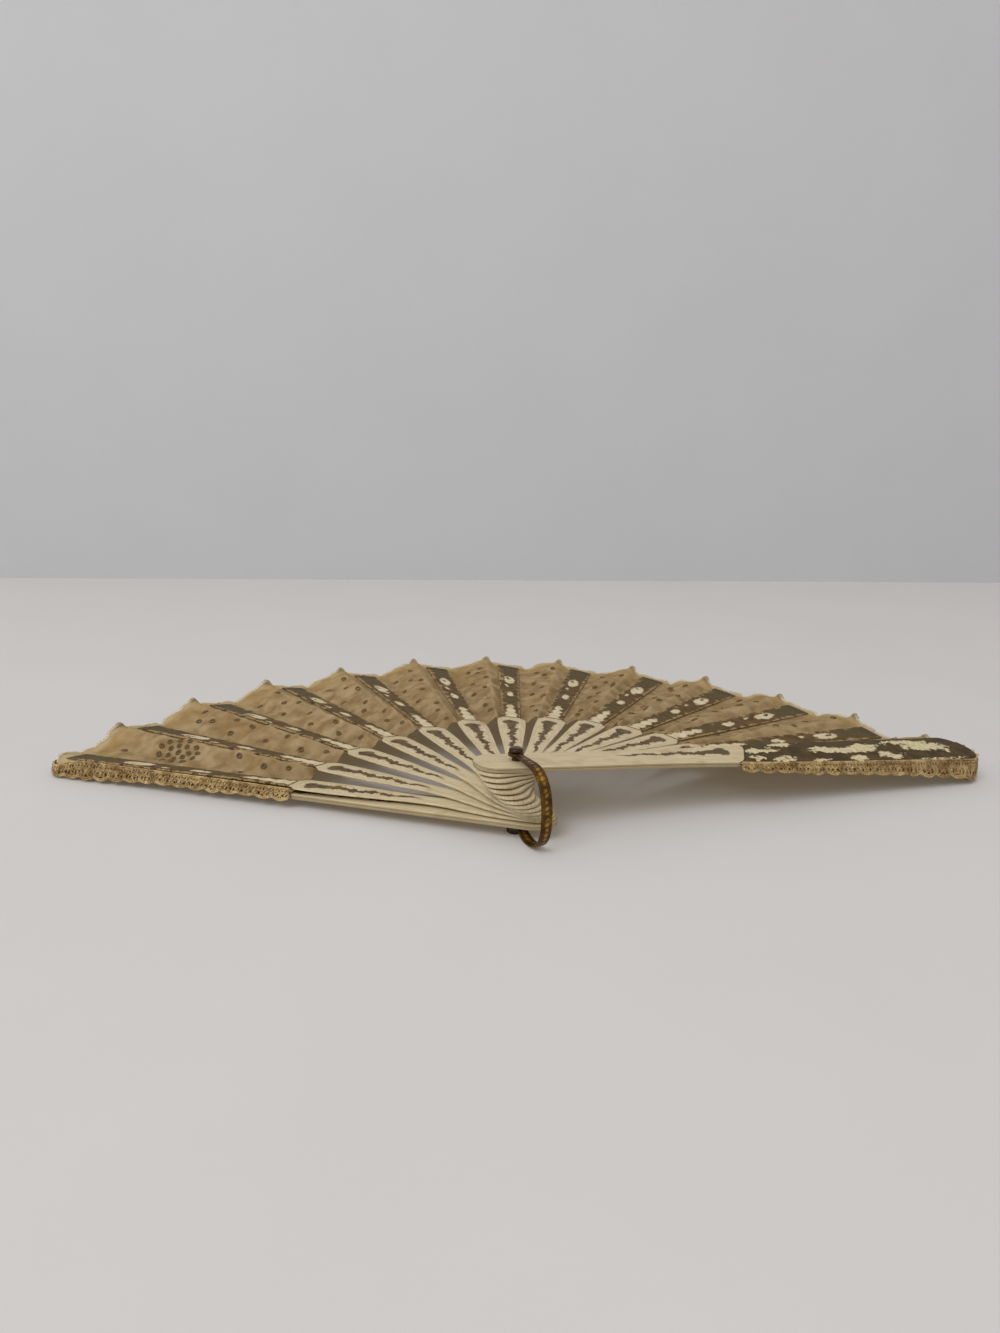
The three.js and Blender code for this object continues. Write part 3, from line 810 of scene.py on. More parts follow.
def guard_shape(roll):
    """A guard at its own frame: a round head, a long blade with grooved sides, a blunt oval tip."""
    tip_turn = HEAD_TURN[:-1][::-1]
    centre = GUARD_HALF - GUARD_HEAD_REACH
    body_r = np.linspace(centre, GUARD_TIP_START, 120)[1:]
    r = np.concatenate([
        centre - GUARD_HALF * np.cos(HEAD_TURN),
        body_r,
        GUARD_TIP_START + GUARD_TIP_LENGTH * np.cos(tip_turn),
    ])
    half = np.concatenate([
        GUARD_HALF * np.sin(HEAD_TURN),
        guard_half(body_r),
        GUARD_TIP_HALF * np.sin(tip_turn),
    ])
    thickness = np.full(len(r), float(GUARD_THICKNESS))
    section = bar_section(12, 3, GUARD_GROOVE)

    def point(stations, y, depth):
        return guard_point(stations, y, depth, roll)

    return bar_shape(r, half, thickness, np.zeros(len(r)), GUARD_EDGE, section, point)


def drilled(name, shape):
    """The blade's mesh with the pin's hole cut through its head."""
    blade = bpy.data.objects.new(name, make_mesh(name, *shape))
    drill_points, drill_faces = lathe([(HOLE_RADIUS, -4), (HOLE_RADIUS, 4)], 40)
    drill = bpy.data.objects.new("drill", make_mesh("drill", drill_points, drill_faces))
    for thing in (blade, drill):
        bpy.context.collection.objects.link(thing)
    cut = blade.modifiers.new("hole", "BOOLEAN")
    cut.operation = "DIFFERENCE"
    cut.solver = "EXACT"
    cut.object = drill
    bpy.context.view_layer.update()
    depsgraph = bpy.context.evaluated_depsgraph_get()
    mesh = bpy.data.meshes.new_from_object(blade.evaluated_get(depsgraph))
    mesh.set_sharp_from_angle(angle=math.radians(50))
    for thing in (blade, drill):
        bpy.data.objects.remove(thing)
    return mesh


def make_blade(blade, mesh, material):
    copy = mesh.copy()
    copy.transform(blade_matrix(blade))
    fix(place_piece(blade.body + "_blade", copy, material), blade.body, blade.body)


def stick_blade(number):
    azimuth = FIRST_AZIMUTH - OPEN_STEP * (number - 1)

    def peak(r, y, depth):
        return stacked(r, y, HEAD_THICKNESS / 2 + PEAK_RISE * depth)

    return Blade(
        f"stick_{number:02d}", blade_turn(azimuth, stick_slope(number)),
        FIRST_STICK_HEIGHT + STICK_PITCH * (number - 1), stick_half,
        lambda r, y: stick_point(r, y, stick_thickness(r) + LEAF_GAP), peak,
    )


def guard_blade(body, azimuth, slope, height, roll):
    """A guard, whose underside is also where a pleat beside it has its peak."""
    def under(r, y, depth=0):
        return guard_point(r, y, GUARD_THICKNESS + LEAF_GAP, roll)

    return Blade(body, blade_turn(azimuth, slope), height, guard_half, under, under)


# Leaf

def pleat_depth(r):
    return lerp(INNER_DEPTH, 1, (r - LEAF_INNER) / (RIB_LENGTH - LEAF_INNER))


def on_guard(r, y):
    """A point of the cloth's upper face where the cloth lies on the left guard."""
    return guard_point(r, y, -LEAF_OVER_GUARD)


def fold_lines(left, right, tucked):
    """A panel's fold lines as functions of the radius, from the left rib's middle to the right's.

    Beside the first stick the valley is past the edge of the guard that is tucked under that stick.
    """
    def left_edge(r):
        return left.half(r) + RIB_MARGIN

    def right_edge(r):
        return right.half(r) + RIB_MARGIN

    def free(r):
        return 2 * r * math.sin(math.radians(OPEN_STEP) / 2) - left_edge(r) - right_edge(r)

    def valley(r):
        if tucked:
            return in_fan(tucked, on_guard(r, -tucked.half(r) - RIB_MARGIN))
        point = left.under(r, 0 * r)
        point[..., 1] = -left_edge(r) - VALLEY_SHARE * free(r)
        point[..., 2] -= VALLEY_DROP * pleat_depth(r)
        return in_fan(left, point)

    def peak(r):
        return in_fan(right, right.peak(r, right_edge(r) + PEAK_SHARE * free(r), pleat_depth(r)))

    return [
        lambda r: in_fan(left, left.under(r, 0 * r - LEAF_SEAM)),
        lambda r: in_fan(left, left.under(r, -left_edge(r))),
        valley,
        peak,
        lambda r: in_fan(right, right.under(r, right_edge(r))),
        lambda r: in_fan(right, right.under(r, 0 * r + LEAF_SEAM)),
    ]


def first_fold_lines(guard, stick):
    """The first panel is shut: it climbs from the left guard's edge to under the first stick.

    Past the ribs' ends it keeps inside the guard's rounded tip.
    """
    def edge(r):
        past = np.clip((r - GUARD_TIP_START) / GUARD_TIP_LENGTH, 0, 1)
        return guard.half(r) * np.sqrt(1 - past ** 2) - RIB_MARGIN

    return [
        lambda r: in_fan(guard, on_guard(r, edge(r))),
        lambda r: in_fan(stick, stick.under(r, 0 * r + LEAF_SEAM)),
    ]


Eyelets = namedtuple("Eyelets", "u r half_across half_along")


class Panel:
    """A panel of cloth as a surface of u, from 0 at the left rib to 1 at the right, and radius r.

    rise is the share of the wrinkles' height that a panel has, and cover the mm that its outer edge
    has on top of the usual, at its left rib and at its right.

    A point is the sum of the fold lines' points at r, each weighted by a hat on u that a running
    mean has rounded, lifted by seeded ripples that die away under the ribs, by puckers beside the
    ribs, by a belly between valley and peak, by a small round crest at the peak's outer end, by a
    shallower outer end of the valley and by a lip past the ribs' ends.
    """

    FINE = 801
    VALLEY = 2
    PEAK = 3

    def __init__(self, lines, seed, scallops, rounding, rise, cover):
        self.lines = lines
        self.rise = rise
        self.cover = cover
        self.scallops = scallops
        at = np.array([line(np.array(float(REFERENCE_RADIUS))) for line in lines])
        steps = np.linalg.norm(np.diff(at, axis=0), axis=1)
        self.width = steps.sum()
        self.knots = np.append(0, np.cumsum(steps)) / self.width
        self.fine = np.linspace(0, 1, self.FINE)
        reach = max(1, int(rounding / self.width * self.FINE))
        kernel = np.hanning(2 * reach + 3)[1:-1]
        kernel = kernel / kernel.sum()
        self.hats = []
        for row in np.eye(len(lines)):
            hat = np.interp(self.fine, self.knots, row)
            hat = np.pad(hat, reach, mode="reflect", reflect_type="odd")
            self.hats.append(np.convolve(hat, kernel, mode="valid"))
        random = np.random.default_rng(seed)
        heading = random.uniform(0, np.pi, RIPPLES)
        length = random.uniform(5, 19, RIPPLES)
        self.ripple_x = 2 * np.pi * np.cos(heading) / length
        self.ripple_r = 2 * np.pi * np.sin(heading) / length
        self.ripple_shift = random.uniform(0, 2 * np.pi, RIPPLES)
        self.ripple_height = 0.015 * length * random.uniform(0.5, 1.2, RIPPLES)
        self.pucker_shift = random.uniform(0, 2 * np.pi, 3)
        self.pleated = len(lines) > self.PEAK

    def outer(self, u):
        """The radius of the scalloped outer edge."""
        beyond = LEAF_BEYOND + lerp(*self.cover, smooth(u, 0, 0.5))
        return RIB_LENGTH + beyond + SCALLOP_HEIGHT * np.abs(np.sin(np.pi * self.scallops * u))

    def across(self, u, r):
        """Millimetres across the cloth from its left rib."""
        return u * self.width * r / REFERENCE_RADIUS

    def from_fold(self, fold, u):
        """Millimetres across the cloth from a fold line, at the reference radius."""
        return (u - self.knots[fold]) * self.width

    def between_ribs(self, u, rim):
        """1 between the ribs and 0 under them, with a soft rim, a share of the width."""
        left, right = self.knots[1], self.knots[-2]
        return smooth(u, left, left + rim) * smooth(-u, -right, -right + rim)

    def crest(self, u, half):
        """1 along the crest of a pleated panel, falling to 0 over a few times half, in mm."""
        return bell(self.from_fold(self.PEAK, u), half) if self.pleated else 0 * u

    def knot(self, u, r):
        """1 at the gathered tip of the crest, falling to 0 a few mm from it."""
        edge = self.outer(u)
        return self.crest(u, 2) * smooth(r, edge - 4.5, edge - 0.5)

    def lift(self, u, r):
        """Millimetres that wrinkles raise the cloth by."""
        past_rib = LIP_RISE * smooth(r, RIB_LENGTH, RIB_LENGTH + 2.5)
        if not self.pleated:
            return past_rib * smooth(u, 0.3, 1)
        x = self.across(u, r)[..., None]
        waves = np.sin(self.ripple_x * x + self.ripple_r * r[..., None] + self.ripple_shift)
        ripples = (self.ripple_height * waves).sum(axis=-1)
        wander_shift, left_shift, right_shift = self.pucker_shift
        wander = 0.6 * np.sin(r / 9 + wander_shift)
        from_left = np.maximum(0, self.from_fold(1, u))
        from_right = np.maximum(0, -self.from_fold(-2, u))
        puckers = np.exp(-from_left / 3) * np.sin(r * 1.05 + left_shift + wander)
        puckers += np.exp(-from_right / 3) * np.sin(r * 0.95 + right_shift - wander)
        edge = self.outer(u)
        from_peak = self.from_fold(self.PEAK, u) * r / REFERENCE_RADIUS
        crest = CREST_RISE * bell(from_peak, 2.2) * smooth(r, edge - 6, edge + 1)
        valley, peak = self.knots[self.VALLEY], self.knots[self.PEAK]
        slope = np.clip((u - valley) / (peak - valley), 0, 1)
        belly = BELLY_RISE * np.sin(np.pi * slope) * smooth(r, 120, RIB_LENGTH)
        in_valley = bell(self.from_fold(self.VALLEY, u), 3.5)
        shallow = VALLEY_RISE * in_valley * smooth(r, 160, RIB_LENGTH)
        lip = past_rib * (1 - self.between_ribs(u, 0.05))
        wrinkles = self.between_ribs(u, 0.12) * (ripples + PUCKER_RISE * puckers)
        return self.rise * (wrinkles + crest + belly + shallow + lip)

    def surface(self, u, r):
        points = sum(
            np.interp(u, self.fine, hat)[..., None] * line(r)
            for hat, line in zip(self.hats, self.lines)
        )
        points[..., 2] += self.lift(u, r)
        return points

    def near(self, u, r, eyelets):
        """How far each point lies from each eyelet's middle, 1 at its rim."""
        x = self.across(u[..., None] - eyelets.u, r[..., None])
        y = r[..., None] - eyelets.r
        return np.sqrt((x / eyelets.half_across) ** 2 + (y / eyelets.half_along) ** 2)


def scatter_eyelets(panel, seed, medallion):
    """Eyelets in loose rows, two in the wide outer rows, each a little off its place.

    A medallion adds rings of small eyelets about one middle.
    """
    random = np.random.default_rng(seed)
    r, share = np.array(BESIDE_MEDALLION if medallion else EYELET_ROWS, dtype=float).T
    r = r + random.uniform(-3, 3, len(r))
    share = share + random.uniform(-0.09, 0.09, len(r))
    left, right = panel.knots[1], panel.knots[-2]
    u = lerp(left + 0.06, right - 0.06, np.clip(share, 0.05, 0.95))
    half_across = random.uniform(0.75, 0.95, len(r))
    half_along = half_across * random.uniform(1.0, 1.5, len(r))
    if medallion:
        middle = lerp(left, right, MEDALLION_SHARE)
        wide = panel.across(1, MEDALLION_RADIUS)
        for count, reach, half in ((1, 0.0, 0.9), (7, 4.4, 0.7), (11, 8.2, 0.75)):
            turn = circle(count) + 0.3
            r = np.append(r, MEDALLION_RADIUS + reach * np.sin(turn) * 1.25)
            u = np.append(u, middle + 0.78 * reach * np.cos(turn) / wide)
            half_across = np.append(half_across, np.full(count, half))
            half_along = np.append(half_along, np.full(count, half * 1.1))
    return Eyelets(u, r, half_across, half_along)


def pierced_cloth(panel, eyelets, rows, columns):
    """The panel's grid with the cells inside an eyelet left out and their rims drawn to an oval."""
    u = np.broadcast_to(np.linspace(0, 1, columns), (rows, columns)).copy()
    out = np.linspace(0, 1, rows)[:, None]
    r = lerp(LEAF_INNER, panel.outer(u), out)
    cell_u = (u[1:, 1:] + u[:-1, :-1]) / 2
    cell_r = (r[1:, 1:] + r[:-1, :-1] + r[1:, :-1] + r[:-1, 1:]) / 4
    closeness = np.zeros((rows, columns))
    open_cells = np.zeros(cell_u.shape, dtype=bool)
    if eyelets is not None:
        open_cells = (panel.near(cell_u, cell_r, eyelets) < 1).any(axis=-1)
        around_open = np.zeros((rows, columns), dtype=int)
        around_kept = np.zeros((rows, columns), dtype=int)
        for down in (0, 1):
            for right in (0, 1):
                part = np.s_[down:rows - 1 + down, right:columns - 1 + right]
                around_open[part] += open_cells
                around_kept[part] += ~open_cells
        rim = (around_open > 0) & (around_kept > 0)
        near = panel.near(u, r, eyelets)
        nearest = near.argmin(axis=-1)
        least = near.min(axis=-1)
        u = np.where(rim, eyelets.u[nearest] + (u - eyelets.u[nearest]) / least, u)
        r = np.where(rim, eyelets.r[nearest] + (r - eyelets.r[nearest]) / least, r)
        closeness = np.clip(2.1 - panel.near(u, r, eyelets).min(axis=-1), 0, 1)
    faces = grid_faces(rows, columns)[~open_cells.ravel()]
    used, faces = np.unique(faces, return_inverse=True)
    faces = faces.reshape(-1, 4)
    points = panel.surface(u, r).reshape(-1, 3)[used]
    flat = stacked(r, panel.across(u, r)).reshape(-1, 2)[used]
    values = {"eyelet": closeness, "fold": panel.crest(u, 1.5), "knot": panel.knot(u, r)}
    values = {name: value.ravel()[used] for name, value in values.items()}
    return points, faces.tolist(), flat, values


def leaf_trim(panel, eyelets):
    """A cord and a row of small loops along the outer edge, and thread worked round the eyelets."""
    u = np.linspace(0, 1, 301)
    edge = panel.outer(u)
    loops = EDGE_LOOPS if panel.pleated else FOLDED_LOOPS
    turn = 2 * np.pi * loops * u
    cord = panel.surface(u, edge + 0.1)
    looped = panel.surface(u + 0.35 / loops * np.sin(turn), edge + 0.75 - 0.65 * np.cos(turn))
    up = np.array([0, 0, 1.0])
    bunched = panel.crest(u, 1.6)
    thick = np.stack([0.45 + 0.85 * bunched, 0.34 + 0.3 * bunched])
    shapes = [tubes(np.stack([cord, looped]), thick, THREAD_SIDES, up)]
    # These values brown the thread round the eyelets, partly as painted shade of the holes, and
    # where the edge bunches at a crest.
    worked = [np.repeat(np.tile(0.7 * bunched, 2), THREAD_SIDES)]
    if eyelets is not None:
        turn = circle(28)
        share = 1.05 * eyelets.half_across / panel.across(1, eyelets.r)
        ring_u = eyelets.u[:, None] + share[:, None] * np.cos(turn)
        ring_r = eyelets.r[:, None] + 1.05 * eyelets.half_along[:, None] * np.sin(turn)
        rings = panel.surface(ring_u, ring_r) + 0.08 * up
        thick = 0.52 * (1 + 0.14 * np.cos(14 * turn))
        shapes.append(tubes(rings, thick, THREAD_SIDES, up, ring=True))
        worked.append(np.ones(len(shapes[1][0])))
    return join(*shapes), {"eyelet": np.concatenate(worked)}


def fold_ends(left, right, start, end):
    """Two points at the leaf's inner end, start and end mm right of the blades' mean line."""
    way = (left.turn[:, 0] + right.turn[:, 0]) / 2
    over = np.array([way[1], -way[0], 0]) / np.hypot(way[0], way[1])
    return [((way * LEAF_INNER + over * shift) * MM).tolist() for shift in (start, end)]


def make_leaf(blades, cloth, thread):
    """A panel of cloth with its trim for each gap between two blades; the first one is shut."""
    half_gap = FOLD_SHARE * LEAF_INNER * math.sin(math.radians(OPEN_STEP) / 2)
    for i, (left, right) in enumerate(zip(blades[:-1], blades[1:]), start=1):
        node = f"leaf_panel_{i:02d}"
        if i == 1:
            lines = first_fold_lines(left, right)
            panel = Panel(lines, PANEL_SEED + i, 1, FOLDED_ROUNDING, 1, (TIP_COVER, TIP_COVER))
            eyelets, columns, ends = None, FOLDED_COLUMNS, FOLDED_ENDS
        else:
            by_guard = i == 2
            lines = fold_lines(left, right, blades[0] if by_guard else None)
            rise = LAST_RISE if right is blades[-1] else 1
            cover = (TIP_COVER if by_guard else 0, 0)
            panel = Panel(lines, PANEL_SEED + i, SCALLOPS, PLEAT_ROUNDING, rise, cover)
            eyelets = scatter_eyelets(panel, EYELET_SEED + i, by_guard)
            columns, ends = CLOTH_COLUMNS, (-half_gap, half_gap)
        mesh = make_mesh(node, *pierced_cloth(panel, eyelets, CLOTH_ROWS, columns), close=False)
        piece = place_piece(f"leaf_cloth_{i:02d}", mesh, cloth)
        thicken(piece, "cloth", LEAF_THICKNESS, -1)
        trim_shape, worked = leaf_trim(panel, eyelets)
        trim_mesh = make_mesh(node + "_trim", *trim_shape, worked)
        trim = place_piece(f"leaf_edging_{i:02d}", trim_mesh, thread)
        start, end = fold_ends(left, right, *ends)
        for part in (piece, trim):
            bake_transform(part)
        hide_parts(node)
        length = panel.outer(np.linspace(0, 1, 200)).mean() - LEAF_INNER
        wide = panel.across(1, RIB_LENGTH + LEAF_BEYOND)
        narrow = panel.across(1, LEAF_INNER)
        if wide > NARROWEST_SHEET:
            wide * MM
            length * MM
            left.body + "_blade"
            right.body + "_blade"
            (wide + narrow) / 2 * length * MM * MM


# Lace bands

class LaceBand:
    """A band that stands beside a guard's edge on one side (1 left, -1 right) and round its tip.

    A point is a run along the edge, a share of the height from top to scalloped bottom, and mm
    outwards; the band flares out with the square of the share. top and bottom give its heights in
    the guard's frame at a point (x, y) of the edge.
    """

    def __init__(self, blade, side, top, bottom, ruffle):
        self.blade = blade
        self.top = top
        self.bottom = bottom
        self.ruffle = ruffle
        straight = np.linspace(LEAF_INNER, GUARD_TIP_START, 240)[:-1]
        turn = np.linspace(np.pi / 2, -math.radians(LACE_WRAP), 80)
        self.x = np.append(straight, GUARD_TIP_START + GUARD_TIP_LENGTH * np.cos(turn))
        self.y = side * np.append(guard_half(straight), GUARD_TIP_HALF * np.sin(turn))
        out_x = np.append(0 * straight, np.cos(turn) / GUARD_TIP_LENGTH)
        out_y = side * np.append(0 * straight + 1, np.sin(turn) / GUARD_TIP_HALF)
        size = np.hypot(out_x, out_y)
        self.out_x, self.out_y = out_x / size, out_y / size
        self.run = run_along(self.x, self.y)
        self.length = self.run[-1]

    def at(self, run, *rows):
        """Values of the edge's stations at the run."""
        return [np.interp(run, self.run, row) for row in rows]

    def out(self, run):
        """The way straight out from the edge."""
        return stacked(*self.at(run, self.out_x, self.out_y), 0) @ self.blade.turn.T

    def point(self, run, share, shift):
        """A point in the fan's frame."""
        x, y, out_x, out_y = self.at(run, self.x, self.y, self.out_x, self.out_y)
        wave = np.abs(np.sin(np.pi * run / LACE_SCALLOP))
        bottom = self.bottom(x, y) + LACE_SCALLOP_HEIGHT * (1 - wave)
        height = lerp(self.top(x, y), bottom, share)
        ruffle = self.ruffle * share * np.sin(2 * np.pi * run / 11 + 1.3 * np.sin(run / 17))
        offset = LACE_GAP + LACE_FLARE * share * share + shift + ruffle
        return in_fan(self.blade, stacked(x + offset * out_x, y + offset * out_y, height))


def local_height(blade, x, height):
    """The height in the blade's frame of a point x along it that is height above the table."""
    sine, cosine = -blade.turn[2, 0], blade.turn[2, 2]
    return (height - blade.place + x * sine) / cosine


def to_table(guard, x, hung, start):
    """The height hung, which from start on falls to just over the table at the guard's end."""
    return lerp(hung, local_height(guard, x, LACE_TABLE_GAP), smooth(x, start, GUARD_END))


def left_lace(guard, stick):
    """From the table, or from just under the guard, up to the first stick's edge.

    Round the tip its top falls to the guard's.
    """
    def top(x, y):
        r = np.minimum(x, RIB_LENGTH)
        edge = in_fan(stick, stick_point(r, stick_half(r), 0))
        by_stick = local_height(guard, x, edge[..., 2])
        by_guard = GUARD_THICKNESS / 2 + LACE_RISE
        return lerp(by_stick, by_guard, smooth(x, LEFT_LACE_FALL_START, GUARD_END))

    def bottom(x, y):
        return to_table(guard, x, -GUARD_THICKNESS / 2 - LEFT_LACE_DROP, LEFT_LACE_DROP_START)

    return LaceBand(guard, 1, top, bottom, LEFT_RUFFLE)


def right_lace(guard):
    """From the guard's top edge down, deeper towards the tip, where it meets the table."""
    def top(x, y):
        return guard_point(x, y, 0, RIGHT_GUARD_ROLL)[..., 2] + LACE_RISE

    def bottom(x, y):
        share = (x - LEAF_INNER) / (GUARD_END - LEAF_INNER)
        under = guard_point(x, y, GUARD_THICKNESS, RIGHT_GUARD_ROLL)[..., 2]
        hung = under - RIGHT_LACE_DROP - RIGHT_LACE_SPREAD * share
        return to_table(guard, x, hung, RIGHT_LACE_DROP_START)

    return LaceBand(guard, -1, top, bottom, RIGHT_RUFFLE)


def lace_cords(band):
    """A cord along the top, two rows of rings, crossing threads, and cords and loops below."""
    run = np.linspace(0, band.length, 900)
    uneven = 0.65 + 0.35 * np.sin(run / 6.1 + 2 * np.sin(run / 23))
    scallop = np.abs(np.sin(np.pi * run / LACE_SCALLOP)) * uneven
    paths, outs, radii = [], [], []

    def lay(along, at, shift, radius):
        paths.append(band.point(along, np.broadcast_to(at, run.shape), shift))
        outs.append(band.out(along))
        radii.append(radius * (1 + 0.12 * np.sin(2 * np.pi * run / 0.9)))

    lay(run, 0.05, 0.45, 0.4)
    for row, (middle, reach, period) in enumerate(((0.27, 0.15, 3.0), (0.57, 0.16, 4.0))):
        for k in range(2):
            phase = 2 * np.pi * run / period + k * np.pi + row + np.sin(run / 6.3 + 2 * row)
            at = middle + reach * np.sin(phase)
            lay(run + 0.8 * np.cos(phase), at, 0.6 + 0.2 * np.cos(phase), 0.33)
    for k in range(2):
        phase = 2 * np.pi * run / LACE_SCALLOP + k * np.pi
        lay(run, 0.55 + 0.25 * np.sin(phase), 0.75 + 0.15 * np.cos(2 * phase + k), 0.27)
    for drop in (0.0, 0.1):
        lay(run, 0.74 + drop + 0.12 * scallop, 0.6, 0.38)
    phase = 2 * np.pi * run / 1.6
    lay(run + 0.35 * np.cos(phase), 0.84 + 0.08 * scallop + 0.05 * np.sin(phase), 0.6, 0.27)
    return tubes(np.array(paths), np.array(radii), THREAD_SIDES, np.array(outs))


def lace_strays(band, tall, seed):
    """Loose ends, and curls that are parts of small turns, strewn over the band."""
    random = np.random.default_rng(seed)
    many, step = (LOOSE_ENDS, 1), np.linspace(0, 1, 7)
    along = random.uniform(0, band.length, many) + random.uniform(-1.6, 1.6, many) * step
    share = random.uniform(0.05, 0.9, many) + random.uniform(-0.1, 0.1, many) * step
    reach = random.uniform(0.4, 1.0, many)
    stray = reach * np.sin(step * random.uniform(1.5, 3.0, many))
    ends = tubes(band.point(along, share, 0.5 + stray), 0.08, 4, band.out(along))

    many, step = (CURLS, 1), np.linspace(0, 1, 10)
    size = random.uniform(0.5, 1.3, many)
    turn = random.uniform(0, 6.3, many) + random.uniform(3.4, 6.0, many) * step
    along = random.uniform(1.5, band.length - 1.5, many) + size * np.cos(turn)
    share = random.uniform(0.05, 0.75, many) + size * np.sin(turn) / tall.mean()
    stray = 0.75 + 0.4 * size * np.sin(turn / 2 + size * 5)
    curls = tubes(band.point(along, np.clip(share, 0.01, 0.85), stray), 0.15, 5, band.out(along))
    return ends, curls


def make_lace(name, band, seed, net_finish, thread):
    """A thin net and, on it, the threads."""
    run, share = np.meshgrid(
        np.linspace(0, band.length, 300), np.linspace(0.02, 0.94, 14), indexing="ij",
    )
    points = band.point(run, share, 0.1)
    tall = np.linalg.norm(np.diff(points, axis=1), axis=-1).sum(axis=1)
    faces = grid_faces(*run.shape).tolist()
    mesh = make_mesh(name + "_net", points, faces, stacked(run, share * 6), close=False)
    net = place_piece(name + "_net", mesh, net_finish)
    thicken(net, "net", NET_THICKNESS, 0)
    shape = join(lace_cords(band), *lace_strays(band, tall, seed))
    mesh = make_mesh(name + "_threads", *shape)
    threads = place_piece(name + "_threads", mesh, thread)
    for part in (net, threads):
        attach(part, band.blade.body)
    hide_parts(name)
    if tall.max() > NARROWEST_SHEET:
        band.blade.body + "_blade"


# Rivet and loop

def rounded_corner(radius, height, size, start, steps=6):
    """A quarter circle of a turned profile, from the start angle on."""
    turn = np.radians(start + np.linspace(0, 90, steps))
    return [(radius + size * math.cos(t), height + size * math.sin(t)) for t in turn]


def turned(name, node, profile, ridge, finish):
    """A turned piece of the rivet, whose ridge value is a function of the height."""
    points, faces = lathe(profile, TURNED_SIDES)
    mesh = make_mesh(name, points, faces, None, {"ridge": ridge(points[:, 2])})
    fix(place_piece(name, mesh, finish), "left_guard", node)


def make_rivet(dark_brass):
    """A pin with a rounded foot, and a domed cap."""
    # The ridge values mark the foot's upper rim and the cap's top, which the brass paints lighter:
    # partly wear, partly painted highlight where light falls on the top.
    def foot_ridge(z):
        return smooth(z, FOOT_HEIGHT - 1.2, FOOT_HEIGHT - 0.4) * (z < FOOT_HEIGHT + 0.1)

    def cap_ridge(z):
        return smooth(z, top - 0.8, top - 0.2)

    foot = [(AXIS, 0), (FOOT_FLAT_RADIUS - 0.3, 0)]
    for height, start in ((FOOT_ROUND, -90), (FOOT_HEIGHT - FOOT_ROUND, 0)):
        foot += rounded_corner(FOOT_RADIUS - FOOT_ROUND, height, FOOT_ROUND, start)
    foot += [(PIN_RADIUS + 0.15, FOOT_HEIGHT), (PIN_RADIUS, FOOT_HEIGHT + 0.15)]
    foot += [(PIN_RADIUS, SHANK_TOP - 0.1), (PIN_RADIUS - 0.1, SHANK_TOP), (AXIS, SHANK_TOP)]
    turned("rivet_pin_turned", "rivet_pin", foot, foot_ridge, dark_brass)

    top = CAP_BOTTOM + CAP_HEIGHT
    dome = np.pi / 2 * np.linspace(0, 0.97, 9)
    cap = [(AXIS, CAP_BOTTOM), (CAP_RADIUS - 0.5, CAP_BOTTOM)]
    cap += rounded_corner(CAP_RADIUS - CAP_ROUND, CAP_BOTTOM + CAP_ROUND, CAP_ROUND, -90)
    cap += [(CAP_RADIUS * math.cos(t), lerp(CAP_BOTTOM + 0.55, top, math.sin(t))) for t in dome]
    cap += [(AXIS, top)]
    turned("rivet_cap_turned", "rivet_cap", cap, cap_ridge, dark_brass)


def loop_line(count):
    """The strip's middle line as (reach, height), evenly spaced.

    It leaves the upper eye, follows a bow whose reach and height are powers of a circle's, dips to
    the table and climbs to the lower eye; a running mean rounds the joins.
    """
    middle = (UPPER_EYE + LOOP_DIP) / 2
    turn = np.pi * (0.5 - np.linspace(0, 1, 200))
    power = 2 / LOOP_SQUARENESS
    bow_reach = LOOP_LEG + (LOOP_REACH - LOOP_LEG) * np.abs(np.cos(turn)) ** power
    climb = np.sign(np.sin(turn)) * np.abs(np.sin(turn)) ** power
    bow_height = middle + (UPPER_EYE - middle) * climb
    start = EYE_RADIUS - EYE_OVERLAP
    leg = np.linspace(start, LOOP_LEG, 40)[:-1]
    share = np.linspace(0, 1, 60)[1:]
    reach = np.concatenate([leg, bow_reach, lerp(LOOP_LEG, start, share)])
    height = np.concatenate([
        0 * leg + UPPER_EYE, bow_height, lerp(LOOP_DIP, LOWER_EYE, smooth(share, 0, 0.92)),
    ])
    run = run_along(reach, height)
    even = np.linspace(0, run[-1], count)
    line = stacked(np.interp(even, run, reach), np.interp(even, run, height))
    for _ in range(6):
        line[1:-1] = (line[:-2] + 2 * line[1:-1] + line[2:]) / 4
    return line, even


